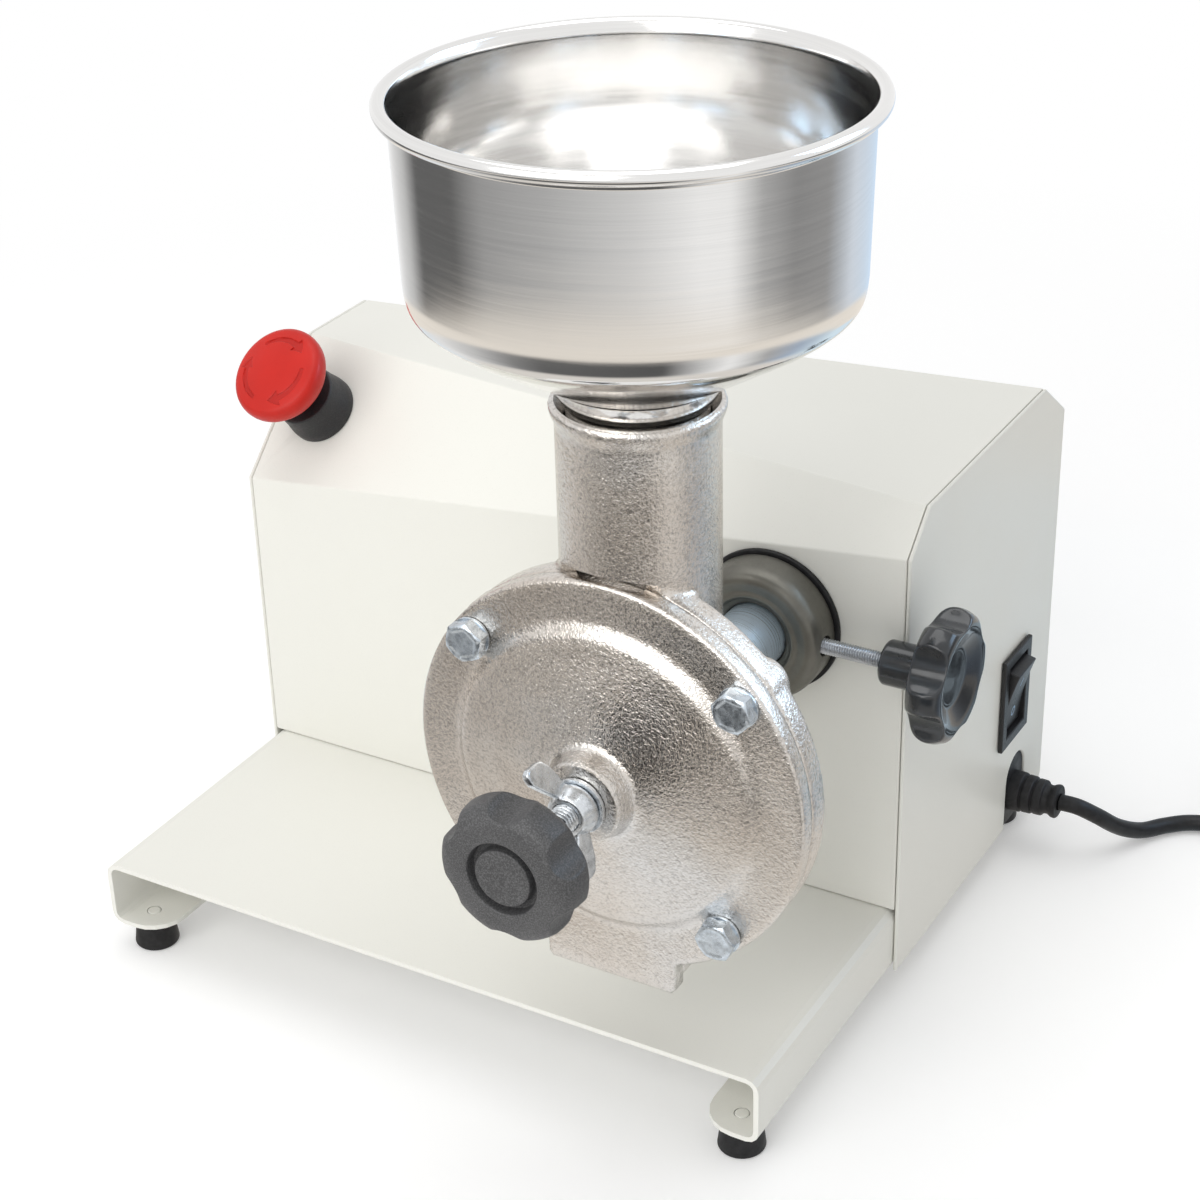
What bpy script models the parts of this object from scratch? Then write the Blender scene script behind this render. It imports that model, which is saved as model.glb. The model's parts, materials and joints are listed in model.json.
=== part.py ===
# Electric coffee grinder: a cast grinding head with a steel hopper, clamped in a
# collar on the front of a folded sheet housing that holds the motor and its belt drive.
#
# Metres, +Z up. The origin is on the floor under the middle of the machine, cord left
# out. Places below are first given from the tray's left edge and from the front of the
# grinding head's body, and shifted by the two values X_LEFT and Y_FRONT.

import math

import bmesh
import bpy
from mathutils import Matrix, Vector

MM = 0.001
DEG = math.pi / 180

# Clearances and counts that serve the whole machine

FIT = 0.3 * MM            # between two pieces that touch
RUN = 0.3 * MM            # round a turning shaft
OVERRUN = 4 * MM          # how far a cutter passes the face it cuts
ROUND_SIDES = 28
SMALL_SIDES = 12
HEAD_SIDES = 36
HIDDEN_SIDES = 16
KNOB_SIDES = 36
HOLE_SIDES = 10
SHARP_ANGLE = 35 * DEG

# Tray: a sheet bent down at both sides, with lips bent inwards underneath

TRAY_WIDTH = 290 * MM
TRAY_DEPTH = 267 * MM
TRAY_SHEET = 2 * MM
TRAY_FLANGE = 28 * MM
TRAY_BEND = 5 * MM
LIP_WIDTH = 25 * MM
LIP_CORNER = 14 * MM

# Rubber feet, pushed into the lips

FOOT_HEIGHT = 12 * MM
FOOT_RADIUS = 9 * MM
FOOT_TOP_RADIUS = 7.5 * MM
FOOT_STEM_RADIUS = 2.7 * MM
FOOT_BARB_RADIUS = 4 * MM
FOOT_BARB_HEIGHT = 3 * MM
FOOT_INSET_SIDE = 12 * MM
FOOT_INSET_FRONT = 11 * MM
FOOT_INSET_BACK = 14 * MM

LIP_Z = FOOT_HEIGHT + FIT
TRAY_TOP = LIP_Z + TRAY_FLANGE

# Housing: a wrap over the back of the tray, with both slopes wider on the left

HOUSING_SHEET = 1.5 * MM
HOUSING_FRONT = 115 * MM
HOUSING_DEPTH = 152 * MM
HOUSING_BACK = HOUSING_FRONT + HOUSING_DEPTH
TRAY_FRONT = HOUSING_BACK - TRAY_DEPTH
HOUSING_TOP = 206.5 * MM
FRONT_EDGE_LEFT = 160.5 * MM
FRONT_EDGE_RIGHT = 191.5 * MM
FRONT_SLOPE_RUN = 48.5 * MM
BACK_SLOPE_RUN = 63 * MM
BACK_SLOPE_RUN_RIGHT = 22.5 * MM
BACK_EDGE_RIGHT = 189.5 * MM
BACK_STRIP = 12 * MM
PANEL_EDGE_BEVEL = 0.5 * MM
PANEL_HEEL = 5 * MM

# Both slopes are flat, so their run and their fall keep one proportion

front_run_share = FRONT_SLOPE_RUN / (HOUSING_TOP - FRONT_EDGE_LEFT)
FRONT_RIDGE_LEFT = HOUSING_FRONT + FRONT_SLOPE_RUN
FRONT_RIDGE_RIGHT = HOUSING_FRONT + front_run_share * (HOUSING_TOP - FRONT_EDGE_RIGHT)
back_fall_share = (HOUSING_TOP - BACK_EDGE_RIGHT) / BACK_SLOPE_RUN_RIGHT
BACK_RIDGE_LEFT = HOUSING_BACK - BACK_SLOPE_RUN
BACK_RIDGE_RIGHT = HOUSING_BACK - BACK_SLOPE_RUN_RIGHT
BACK_EDGE_LEFT = HOUSING_TOP - back_fall_share * BACK_SLOPE_RUN
WRAP_FOOT = TRAY_TOP + FIT

# Rear panel with air slots, held by two screws under the wrap's back strip

REAR_PANEL_LAP = 9 * MM
VENT_COUNT = 7
VENT_WIDTH = 4 * MM
VENT_HEIGHT = 46 * MM
VENT_PITCH = 14 * MM
VENT_Z = 92 * MM
SCREW_RADIUS = 2 * MM
SCREW_HEAD_RADIUS = 4 * MM
SCREW_HEAD_HEIGHT = 2.2 * MM
SCREW_LENGTH = 8 * MM
REAR_SCREW_INSET = 45 * MM

# Grinding head: its shaft lies along Y

SHAFT_INSET = 53 * MM
SHAFT_X = TRAY_WIDTH - SHAFT_INSET
SHAFT_Z = 155 * MM
COVER_BACK_Y = -2 * MM
COVER_RADIUS = 73 * MM
COVER_FLANGE = 7 * MM
COVER_EDGE = 1.2 * MM
DOME_RADIUS = 57 * MM
DOME_SHOULDER = 3 * MM
DOME_RISE = 15 * MM
DOME_WALL = 5 * MM
BOSS_RADIUS = 16 * MM
BOSS_TOP_RADIUS = 13.5 * MM
BOSS_HEIGHT = 24 * MM
TAB_HALF_WIDTH = 25 * MM
TAB_DROP = 81 * MM
TAB_FLARE = 9 * MM

BODY_FLANGE = 10 * MM
FACE_STOCK = 1 * MM
DRUM_RADIUS = 62 * MM
DRUM_DEPTH = 17 * MM
BARREL_RADIUS = 26 * MM
BARREL_END = 50 * MM
CHAMBER_RADIUS = 50 * MM
CHAMBER_DEPTH = 10.7 * MM
BARREL_BORE = 17 * MM
BARREL_BORE_END = 46 * MM
NECK_RADIUS = 12.5 * MM
NECK_ROOT = 12 * MM
NECK_BORE = 8 * MM
NECK_END_GAP = 3 * MM
SPOUT_HALF_WIDTH = 24 * MM
SPOUT_DROP = 79 * MM
SPOUT_SLOT_HALF = 18.5 * MM
SPOUT_WALL = 4 * MM

THROAT_Y = 18 * MM
THROAT_RADIUS = 27 * MM
THROAT_TOP = 283 * MM
THROAT_BORE = 23.5 * MM
THROAT_SIDES = 32
THROAT_BEAD = 2 * MM
THROAT_BEAD_HEIGHT = 5 * MM
FUNNEL_TOP = 262 * MM
FUNNEL_FOOT = 185 * MM
FUNNEL_FOOT_Y = 33 * MM
FUNNEL_FOOT_RADIUS = 12 * MM

# Cover bolts, M8

BOLT_CIRCLE = 65 * MM
BOLT_ANGLES = (40 * DEG, 140 * DEG, 228 * DEG, 312 * DEG)
BOLT_RADIUS = 4 * MM
BOLT_ACROSS_FLATS = 13 * MM
BOLT_HEAD = 5.3 * MM
BOLT_LENGTH = 19 * MM
BOLT_WASHER_RADIUS = 7.6 * MM
BOLT_WASHER = 1 * MM
BOLT_CHAMFER = 0.8 * MM
BOLT_SIDES = 12

# Burrs and auger

BURR_RADIUS = 46 * MM
FIXED_BURR_THICKNESS = 6.5 * MM
FIXED_BURR_BORE = 18 * MM
BURR_GAP = 0.6 * MM
TURNING_BURR_THICKNESS = 6.5 * MM
BURR_HUB_BORE = 8 * MM
BURR_TEETH = 8
BURR_GROOVE_DEPTH = 1.2 * MM
BURR_RIM = 2 * MM
BURR_FACE_LEAN = 25 * DEG
AUGER_CORE = 7.7 * MM
AUGER_FLIGHT = 16 * MM
AUGER_PITCH = 22 * MM
AUGER_START = 10 * MM
AUGER_RINGS = 13
NECK_SHAFT_RADIUS = 7 * MM
TONGUE_REACH = 15 * MM
TONGUE_START = HOUSING_FRONT - TONGUE_REACH
TONGUE_LENGTH = 8 * MM
TONGUE_THICKNESS = 4 * MM

# Adjusting screw, M10 x 1.5, with its thrust pad, washer, wing nut and knob

ADJUST_RADIUS = 5 * MM
ADJUST_BORE_GAP = 0.4 * MM
THRUST_PAD_RADIUS = 4.9 * MM
THRUST_PAD_LENGTH = 3 * MM
THRUST_GAP = 0.9 * MM
LOCK_WASHER_RADIUS = 10 * MM
LOCK_WASHER = 1.6 * MM
WING_HUB_RADIUS = 9 * MM
WING_HUB_TOP_RADIUS = 7 * MM
WING_HUB_HEIGHT = 8.5 * MM
WING_SPAN = 21 * MM
WING_REACH = 16 * MM
WING_THICKNESS = 3 * MM
WING_TURN = 108 * DEG
WING_ROOT_GAP = 0.4 * MM
WING_FILLET = 1 * MM
WING_LEAF_SHARES = ((0.81, 0.336), (1, 0.523), (1.024, 0.875), (0.905, 1), (0.714, 0.9375))
KNOB_RADIUS = 25 * MM
KNOB_THICKNESS = 16 * MM
KNOB_LOBES = 6
KNOB_SCALLOP = 2.6 * MM
KNOB_HUB_RADIUS = 10 * MM
KNOB_HUB = 9 * MM
KNOB_FACE_Y = -75 * MM
KNOB_GROOVE_OUTER = 12 * MM
KNOB_GROOVE_INNER = 9.4 * MM
KNOB_GROOVE_DEPTH = 5 * MM
KNOB_EDGE = 4 * MM
KNOB_BORE_DEPTH = 16 * MM

# Collar on the housing's front, its gasket and the side clamp screw, M6 x 1

COLLAR_RADIUS = 27 * MM
COLLAR_DEPTH = 15.5 * MM
COLLAR_EDGE = 4 * MM
COLLAR_DISH = 2.5 * MM
COLLAR_BEAD_RADIUS = 17 * MM
COLLAR_BEAD = 1.5 * MM
GASKET_RADIUS = 28.5 * MM
GASKET = 1.8 * MM
CLAMP_STANDOFF = 10 * MM
CLAMP_Y = HOUSING_FRONT - CLAMP_STANDOFF
CLAMP_RADIUS = 3 * MM
CLAMP_TIP_RADIUS = 2.7 * MM
CLAMP_TIP_LENGTH = 2.3 * MM
CLAMP_REACH = 50.5 * MM
CLAMP_HUB_X = SHAFT_X + CLAMP_REACH
CLAMP_HUB_RADIUS = 8.5 * MM
CLAMP_HUB = 15 * MM
CLAMP_KNOB_RADIUS = 25 * MM
CLAMP_KNOB_THICKNESS = 15 * MM
CLAMP_KNOB_LOBES = 6
CLAMP_KNOB_SCALLOP = 5 * MM
CLAMP_DISH_RADIUS = 18 * MM
CLAMP_DISH_DEPTH = 4 * MM
CLAMP_DISH_FLOOR = 9.5 * MM
CLAMP_KNOB_EDGE = 4 * MM
CLAMP_BORE_DEPTH = 12 * MM

# Hopper, spun from thin sheet

HOPPER_SHEET = 1 * MM
SPIGOT_LENGTH = 19 * MM
HOPPER_NECK_RADIUS = 27.5 * MM
HOPPER_NECK_HEIGHT = 7 * MM
CONE_TOP_RADIUS = 66 * MM
CONE_TOP = 314 * MM
BOWL_FOOT_RADIUS = 71.7 * MM
BOWL_FOOT = 322.5 * MM
BOWL_RADIUS = 73.6 * MM
RIM_Z = 381 * MM
RIM_BEAD = 2.5 * MM
RIM_BEAD_START = -100 * DEG
RIM_BEAD_END = 195 * DEG
RIM_BEAD_SIDES = 5
HOPPER_SIDES = 40
CONE_CORNER_STEPS = 3
CORNER_OUT_SHARE = 0.92
CORNER_UP_SHARE = 0.3

# Bearing housing, bearings and drive spindle behind the collar

BEARING_OUTER = 16 * MM
BEARING_BORE = 6.2 * MM
BEARING_WIDTH = 10 * MM
BEARING_RACE_STEP = 0.8 * MM
BEARING_RACE_INNER = 9.2 * MM
BEARING_RACE_OUTER = 13 * MM
BEARING_FLANGE_RADIUS = 27.5 * MM
BEARING_FLANGE = 6 * MM
BEARING_BARREL_RADIUS = 23 * MM
BEARING_HOUSING_LENGTH = 58 * MM
BEARING_SHOULDER = 14 * MM
BEARING_SEAT_INSET = 2 * MM
SPINDLE_RADIUS = 6 * MM
SPINDLE_HEAD_RADIUS = 7.5 * MM
SPINDLE_HEAD_INSET = 2 * MM
SPINDLE_HEAD_END = HOUSING_FRONT - SPINDLE_HEAD_INSET
SPINDLE_BACK_INSET = 15 * MM
SPINDLE_END = HOUSING_BACK - SPINDLE_BACK_INSET
COLLAR_PASS = 12.8 * MM

# Belt drive

BELT_INSET = 27 * MM
BELT_Y = HOUSING_BACK - BELT_INSET
BELT_WIDTH = 9 * MM
BELT_THICKNESS = 5 * MM
PULLEY_WIDTH = 14 * MM
PULLEY_FLANGE = 1.8 * MM
PULLEY_LIP = 6 * MM
DRIVEN_FLOOR_RADIUS = 33 * MM
MOTOR_FLOOR_RADIUS = 11.34 * MM
BELT_ARC_STEPS = 16

# Motor

MOTOR_X = 112 * MM
MOTOR_RADIUS = 46 * MM
MOTOR_WALL = 3 * MM
MOTOR_FRONT_ROOM = 25 * MM
MOTOR_LENGTH_SHARE = 0.408
MOTOR_FRONT = HOUSING_FRONT + MOTOR_FRONT_ROOM
MOTOR_LENGTH = HOUSING_DEPTH * MOTOR_LENGTH_SHARE
MOTOR_CAP = 12 * MM
MOTOR_CAP_NOSE = 16 * MM
MOTOR_CAP_WALL = 3 * MM
STATOR_BORE = 24.5 * MM
STATOR_INSET = 9 * MM
ROTOR_RADIUS = 24 * MM
ROTOR_SHAFT_RADIUS = 6 * MM
ROTOR_END = HOUSING_BACK - SPINDLE_BACK_INSET
BRACKET_WIDTH = 84 * MM
BRACKET_DEPTH = 40 * MM
BRACKET_PLATE = 5 * MM
BRACKET_RISE = 9 * MM
CAPACITOR_RADIUS = 16 * MM
CAPACITOR_HEIGHT = 72 * MM
CAPACITOR_X = 32 * MM
CAPACITOR_INSET = 42 * MM
CAPACITOR_Y = HOUSING_BACK - CAPACITOR_INSET
CAPACITOR_CAP = 5 * MM
CAPACITOR_CAP_RADIUS = 13 * MM

# Emergency stop button on the front slope

STOP_X = 21 * MM
STOP_INSET = 24 * MM
STOP_Y = HOUSING_FRONT + STOP_INSET
STOP_COLLAR_RADIUS = 14.5 * MM
STOP_COLLAR_TOP_RADIUS = 13 * MM
STOP_COLLAR_HEIGHT = 16 * MM
STOP_NECK_RADIUS = 10.8 * MM
STOP_NECK_LENGTH = 16 * MM
STOP_BORE = 7 * MM
STOP_NUT_RADIUS = 15 * MM
STOP_NUT = 4 * MM
STOP_BLOCK_WIDTH = 30 * MM
STOP_BLOCK_DEPTH = 28 * MM
STOP_BLOCK_HEIGHT = 34 * MM
STOP_STEM_RADIUS = 6.5 * MM
STOP_TRAVEL = 5 * MM
STOP_HEAD_RADIUS = 20 * MM
STOP_HEAD_EDGE = 3.4 * MM
STOP_HEAD_HEIGHT = 13 * MM
STOP_HEAD_CROWN = 2.2 * MM
STOP_SKIRT_RADIUS = 12 * MM
STOP_SKIRT = 5 * MM

# Rocker switch on the right panel

SWITCH_INSET = 41 * MM
SWITCH_Y = HOUSING_BACK - SWITCH_INSET
SWITCH_Z = 79 * MM
SWITCH_WIDTH = 28 * MM
SWITCH_HEIGHT = 42 * MM
SWITCH_BEZEL = 2 * MM
SWITCH_FRAME = 3 * MM
SWITCH_BODY_DEPTH = 25 * MM
SWITCH_WALL = 1.5 * MM
SWITCH_FLOOR = 6 * MM
ROCKER_TILT = 12 * DEG
ROCKER_PROUD = 3 * MM
ROCKER_THICKNESS = 5.5 * MM
ROCKER_GAP = 0.5 * MM
ROCKER_ROOT = 4 * MM
ROCKER_PIVOT_DEPTH = 4.5 * MM

# Cord exit, strain relief and terminal block

SLOT_INSET = 31 * MM
SLOT_Y = HOUSING_BACK - SLOT_INSET
SLOT_WIDTH = 20 * MM
SLOT_TOP = 44.5 * MM
CORD_EXIT_Z = 26.5 * MM
RELIEF_RADIUS = 8.6 * MM
RELIEF_TIP_RADIUS = 5.6 * MM
RELIEF_LENGTH = 20 * MM
RELIEF_RIBS = 4
RELIEF_GROOVE = 1.3 * MM
RIB_CREST_SHARE = 0.55
RIB_FALL_SHARE = 0.62
RIB_RISE_SHARE = 0.93
RELIEF_PLATE_RADIUS = 10.7 * MM
RELIEF_PLATE_FACE = 9.5 * MM
RELIEF_PLATE = 3 * MM
CORD_RADIUS = 3.5 * MM
TERMINAL_INSET = 78 * MM
TERMINAL_SETBACK = 31 * MM
TERMINAL_X = TRAY_WIDTH - TERMINAL_INSET
TERMINAL_Y = SLOT_Y - TERMINAL_SETBACK
TERMINAL_LENGTH = 36 * MM
TERMINAL_DEPTH = 18 * MM
TERMINAL_HEIGHT = 16 * MM
TERMINAL_POLES = 3
TERMINAL_WELL = 3 * MM
TERMINAL_WELL_DEPTH = 7 * MM
LEAD_HOLE_INSET = 54 * MM
LEAD_HOLE_X = TRAY_WIDTH - LEAD_HOLE_INSET
LEAD_HOLE_RADIUS = 5 * MM

# The cord's loops: a flat coil in two layers, and what is on it

PANEL_FACE_X = TRAY_WIDTH + FIT + HOUSING_SHEET
COIL_REACH = 116.2 * MM
COIL_SETBACK = 95.5 * MM
COIL_X = PANEL_FACE_X + COIL_REACH
COIL_Y = SLOT_Y + COIL_SETBACK
COIL_OUTER = 47.5 * MM
COIL_LIFT = 1.6 * MM
COIL_PITCH = 7.5 * MM
COIL_TUCK = 1.3 * MM
COIL_TURNS_DOWN = 2.5
COIL_TURNS_CLIMB = 0.5
COIL_TURNS_UP = 2.0
COIL_STEPS = 24
COIL_LEAD_IN = 7 * MM
COIL_TAIL = 42 * MM
TIE_THICKNESS = 1.2 * MM
TIE_WIDTH = 10 * MM
TIE_ANGLE = 200 * DEG
TIE_GAP = 0.4 * MM
TIE_SLACK = 1.4 * MM
PLUG_RADIUS = 12.3 * MM
PLUG_LENGTH = 34 * MM
PLUG_NECK = 12 * MM
PLUG_NECK_RADIUS = 6 * MM
PLUG_FACE_HALF = 9 * MM
PIN_RADIUS = 2 * MM
PIN_LENGTH = 19 * MM
PIN_SPACING = 19 * MM

# The free stretch of cord, from the strain relief to the coil. Each point is given
# from where the cord's slot lies in the right panel's face, with its height over the
# floor, chosen by hand.
CORD_ROUTE = [
    (20.5, 0.0, 26.5), (27.7, 0.8, 26.0), (34.7, 6.0, 20.5), (41.2, 15.5, 11.5),
    (47.7, 26.5, 5.2), (54.7, 36.5, 3.8), (63.2, 43.5, 3.8), (74.2, 47.0, 4.0),
    (88.2, 48.0, 4.8), (98.2, 48.0, 5.1), (108.9, 48.0, 5.1),
]
CORD_STEPS = 36

# The lead inside, from the strain relief up to the terminal block, given the same way
INNER_ROUTE = [
    (-7.7, 0.0, 26.5), (-17.8, 0.0, 26.5), (-39.8, -3.0, 26.0), (-51.8, -10.0, 28.5),
    (-55.8, -17.0, 38.5), (-55.8, -19.0, 47.0), (-55.8, -22.5, 58.0), (-60.3, -27.5, 65.0),
    (-67.8, -30.5, 65.5), (-74.8, -31.0, 62.0),
]
INNER_RADIUS = 3 * MM
INNER_STEPS = 30

# Where the whole machine stands: its box is centred on the origin, cord left out

SIDE_STACK = FIT + HOUSING_SHEET
KNOB_FACE_X = CLAMP_HUB_X + CLAMP_HUB + CLAMP_KNOB_THICKNESS
BACK_FACE_Y = HOUSING_BACK + FIT + SCREW_HEAD_HEIGHT
X_LEFT = (SIDE_STACK - KNOB_FACE_X) / 2
Y_FRONT = -(KNOB_FACE_Y + BACK_FACE_Y) / 2

ALONG_X = Vector((1, 0, 0))
ALONG_Y = Vector((0, 1, 0))
ALONG_Z = Vector((0, 0, 1))
FORWARD = Vector((0, -1, 0))


def at(x, y, z):
    """A place given from the tray's left front edge, in world coordinates."""
    return Vector((X_LEFT + x, Y_FRONT + y, z))


# Materials

PALETTE = {
    "painted_steel": ((0.83, 0.83, 0.79), 0.35, 0.0),
    "cast_metal": ((0.72, 0.71, 0.68), 0.38, 0.9),
    "polished_steel": ((0.78, 0.78, 0.78), 0.12, 1.0),
    "zinc_steel": ((0.62, 0.64, 0.66), 0.3, 1.0),
    "dark_steel": ((0.14, 0.13, 0.12), 0.4, 0.8),
    "burr_steel": ((0.42, 0.42, 0.42), 0.5, 0.9),
    "black_plastic": ((0.045, 0.045, 0.048), 0.5, 0.0),
    "gloss_plastic": ((0.035, 0.04, 0.045), 0.2, 0.0),
    "red_plastic": ((0.62, 0.025, 0.015), 0.35, 0.0),
    "rubber": ((0.03, 0.03, 0.03), 0.7, 0.0),
    "brass": ((0.7, 0.52, 0.2), 0.3, 1.0),
    "motor_shell": ((0.3, 0.31, 0.33), 0.5, 0.6),
    "lamination": ((0.4, 0.38, 0.36), 0.5, 0.9),
    "aluminium": ((0.75, 0.75, 0.76), 0.4, 0.9),
    "belt_rubber": ((0.04, 0.04, 0.04), 0.8, 0.0),
    "terminal_plastic": ((0.75, 0.73, 0.66), 0.5, 0.0),
    "capacitor_case": ((0.7, 0.7, 0.68), 0.4, 0.2),
    "cord_rubber": ((0.02, 0.02, 0.02), 0.55, 0.0),
}


def material(name, owner):
    """The piece's own material, from the palette."""
    colour, roughness, metallic = PALETTE[name]
    mat = bpy.data.materials.new(owner + "_" + name)
    mat.use_nodes = True
    shader = mat.node_tree.nodes["Principled BSDF"]
    shader.inputs["Base Color"].default_value = (*colour, 1)
    shader.inputs["Roughness"].default_value = roughness
    shader.inputs["Metallic"].default_value = metallic
    return mat


# Basic shapes


def turned_frame(origin, axis):
    """A placing whose local Z runs along the axis."""
    turn = axis.normalized().to_track_quat("Z", "Y").to_matrix().to_4x4()
    return Matrix.Translation(origin) @ turn


def basis_frame(origin, x_axis, y_axis):
    """A placing from its origin and two of its axes."""
    z_axis = x_axis.cross(y_axis)
    turn = Matrix((x_axis, y_axis, z_axis)).transposed().to_4x4()
    return Matrix.Translation(origin) @ turn


def upright_frame(origin):
    """Outline in X and Z, drawn out along -Y."""
    return basis_frame(origin, ALONG_X, ALONG_Z)


def side_frame(origin):
    """Outline in Y and Z, drawn out along X."""
    return basis_frame(origin, ALONG_Y, ALONG_Z)


def flat_frame(origin):
    """Outline in X and Y, drawn out along Z."""
    return basis_frame(origin, ALONG_X, ALONG_Y)


def solid(name, points, faces, placing, finish, smooth=False):
    """An object from points and faces, with its faces turned outwards."""
    mesh = bpy.data.meshes.new(name)
    mesh.from_pydata([tuple(p) for p in points], [], faces)
    work = bmesh.new()
    work.from_mesh(mesh)
    bmesh.ops.recalc_face_normals(work, faces=work.faces)
    work.to_mesh(mesh)
    work.free()
    if smooth:
        mesh.shade_smooth()
        mesh.set_sharp_from_angle(angle=SHARP_ANGLE)
    piece = bpy.data.objects.new(name, mesh)
    piece.matrix_world = placing
    bpy.context.scene.collection.objects.link(piece)
    mesh.materials.append(material(finish, name))
    return piece


def round_radius(radius, angle, along):
    """A plain round section."""
    return radius


def turned(name, profile, placing, finish, sides=ROUND_SIDES, shape=round_radius, smooth=True):
    """A turned solid: a closed profile of (radius, along) swept round local Z."""
    points = []
    rings = []
    for radius, along in profile:
        start = len(points)
        if radius == 0:
            points.append((0, 0, along))
            rings.append([start])
            continue
        for step in range(sides):
            angle = 2 * math.pi * step / sides
            reach = shape(radius, angle, along)
            points.append((reach * math.cos(angle), reach * math.sin(angle), along))
        rings.append(list(range(start, start + sides)))
    faces = []
    for here, there in zip(rings, rings[1:] + rings[:1]):
        if len(here) == 1 and len(there) == 1:
            continue
        for step in range(sides):
            following = (step + 1) % sides
            if len(here) == 1:
                faces.append((here[0], there[following], there[step]))
            elif len(there) == 1:
                faces.append((here[step], here[following], there[0]))
            else:
                faces.append((here[step], here[following], there[following], there[step]))
    return solid(name, points, faces, placing, finish, smooth)


def prism(name, outline, length, placing, finish, smooth=False):
    """An outline in local X and Y, drawn out along local Z."""
    count = len(outline)
    points = [(x, y, 0) for x, y in outline] + [(x, y, length) for x, y in outline]
    faces = [tuple(range(count)), tuple(range(count, 2 * count))]
    for step in range(count):
        following = (step + 1) % count
        faces.append((step, following, count + following, count + step))
    return solid(name, points, faces, placing, finish, smooth)


def block(name, low, high, finish):
    """A box between two corners, placed at its middle."""
    middle = (low + high) / 2
    half = (high - low) / 2
    outline = rectangle(half.x, half.y)
    placing = flat_frame(middle - ALONG_Z * half.z)
    return prism(name, outline, 2 * half.z, placing, finish)


def rod(name, radius, length, placing, finish, sides=SMALL_SIDES):
    """A plain round bar along local Z."""
    profile = [(0, 0), (radius, 0), (radius, length), (0, length)]
    return turned(name, profile, placing, finish, sides)


def rectangle(half_width, half_height):
    return [
        (-half_width, -half_height),
        (half_width, -half_height),
        (half_width, half_height),
        (-half_width, half_height),
    ]


def arc(centre, radius, start, end, steps):
    """Points along an arc, both ends included."""
    points = []
    for step in range(steps + 1):
        angle = start + (end - start) * step / steps
        points.append((centre[0] + radius * math.cos(angle), centre[1] + radius * math.sin(angle)))
    return points


def hidden(piece):
    """Marks a cutter or a shape that only adds to another."""
    piece.hide_render = True
    piece.display_type = "WIRE"
    return piece


def combine(piece, other, operation):
    """Cuts the other shape from the piece, or adds it."""
    hidden(other)
    change = piece.modifiers.new(other.name, "BOOLEAN")
    change.operation = operation
    change.solver = "EXACT"
    change.object = other
    return piece


def cut(piece, *others):
    for other in others:
        combine(piece, other, "DIFFERENCE")


def add(piece, *others):
    for other in others:
        combine(piece, other, "UNION")


def soften(piece, width):
    """A narrow bevel along the piece's sharp edges."""
    edge = piece.modifiers.new("edge", "BEVEL")
    edge.width = width
    edge.segments = 1
    edge.limit_method = "ANGLE"
    return piece


# Tray and feet


def tray_outline():
    """The tray's cross-section in X and Z: top, two flanges and two lips."""
    outer = TRAY_BEND
    inner = TRAY_BEND - TRAY_SHEET
    steps = 3
    half = TRAY_WIDTH / 2
    quarter = math.pi / 2
    right = []
    right += arc((half - outer, TRAY_TOP - outer), outer, quarter, 0, steps)
    right += arc((half - outer, LIP_Z + outer), outer, 0, -quarter, steps)
    right.append((half - LIP_WIDTH, LIP_Z))
    right.append((half - LIP_WIDTH, LIP_Z + TRAY_SHEET))
    right += arc((half - outer, LIP_Z + outer), inner, -quarter, 0, steps)
    right += arc((half - outer, TRAY_TOP - outer), inner, 0, quarter, steps)
    left = [(-x, z) for x, z in reversed(right)]
    return right + left


def lip_corner_cutter(name, side, back):
    """What is rounded off the free corner of a lip."""
    free_edge = LIP_WIDTH
    corner = [(0, 0), (LIP_CORNER, 0)]
    corner += arc((LIP_CORNER, LIP_CORNER), LIP_CORNER, -math.pi / 2, -math.pi, 5)[1:]
    x = TRAY_WIDTH - free_edge if side > 0 else free_edge
    y = HOUSING_BACK if back else TRAY_FRONT
    x_sign = 1 if side > 0 else -1
    y_sign = -1 if back else 1
    reach = OVERRUN
    shape = [(-reach, -reach), (LIP_CORNER, -reach)] + corner[1:] + [(-reach, LIP_CORNER)]
    outline = [(x_sign * u, y_sign * v) for u, v in shape]
    low = LIP_Z - OVERRUN
    placing = flat_frame(at(x, y, low))
    return prism(name, outline, OVERRUN + TRAY_SHEET + FIT, placing, "painted_steel")


def foot_places():
    left = FOOT_INSET_SIDE
    right = TRAY_WIDTH - FOOT_INSET_SIDE
    front = TRAY_FRONT + FOOT_INSET_FRONT
    back = HOUSING_BACK - FOOT_INSET_BACK
    return {
        "foot_front_left": (left, front),
        "foot_front_right": (right, front),
        "foot_back_left": (left, back),
        "foot_back_right": (right, back),
    }


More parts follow.
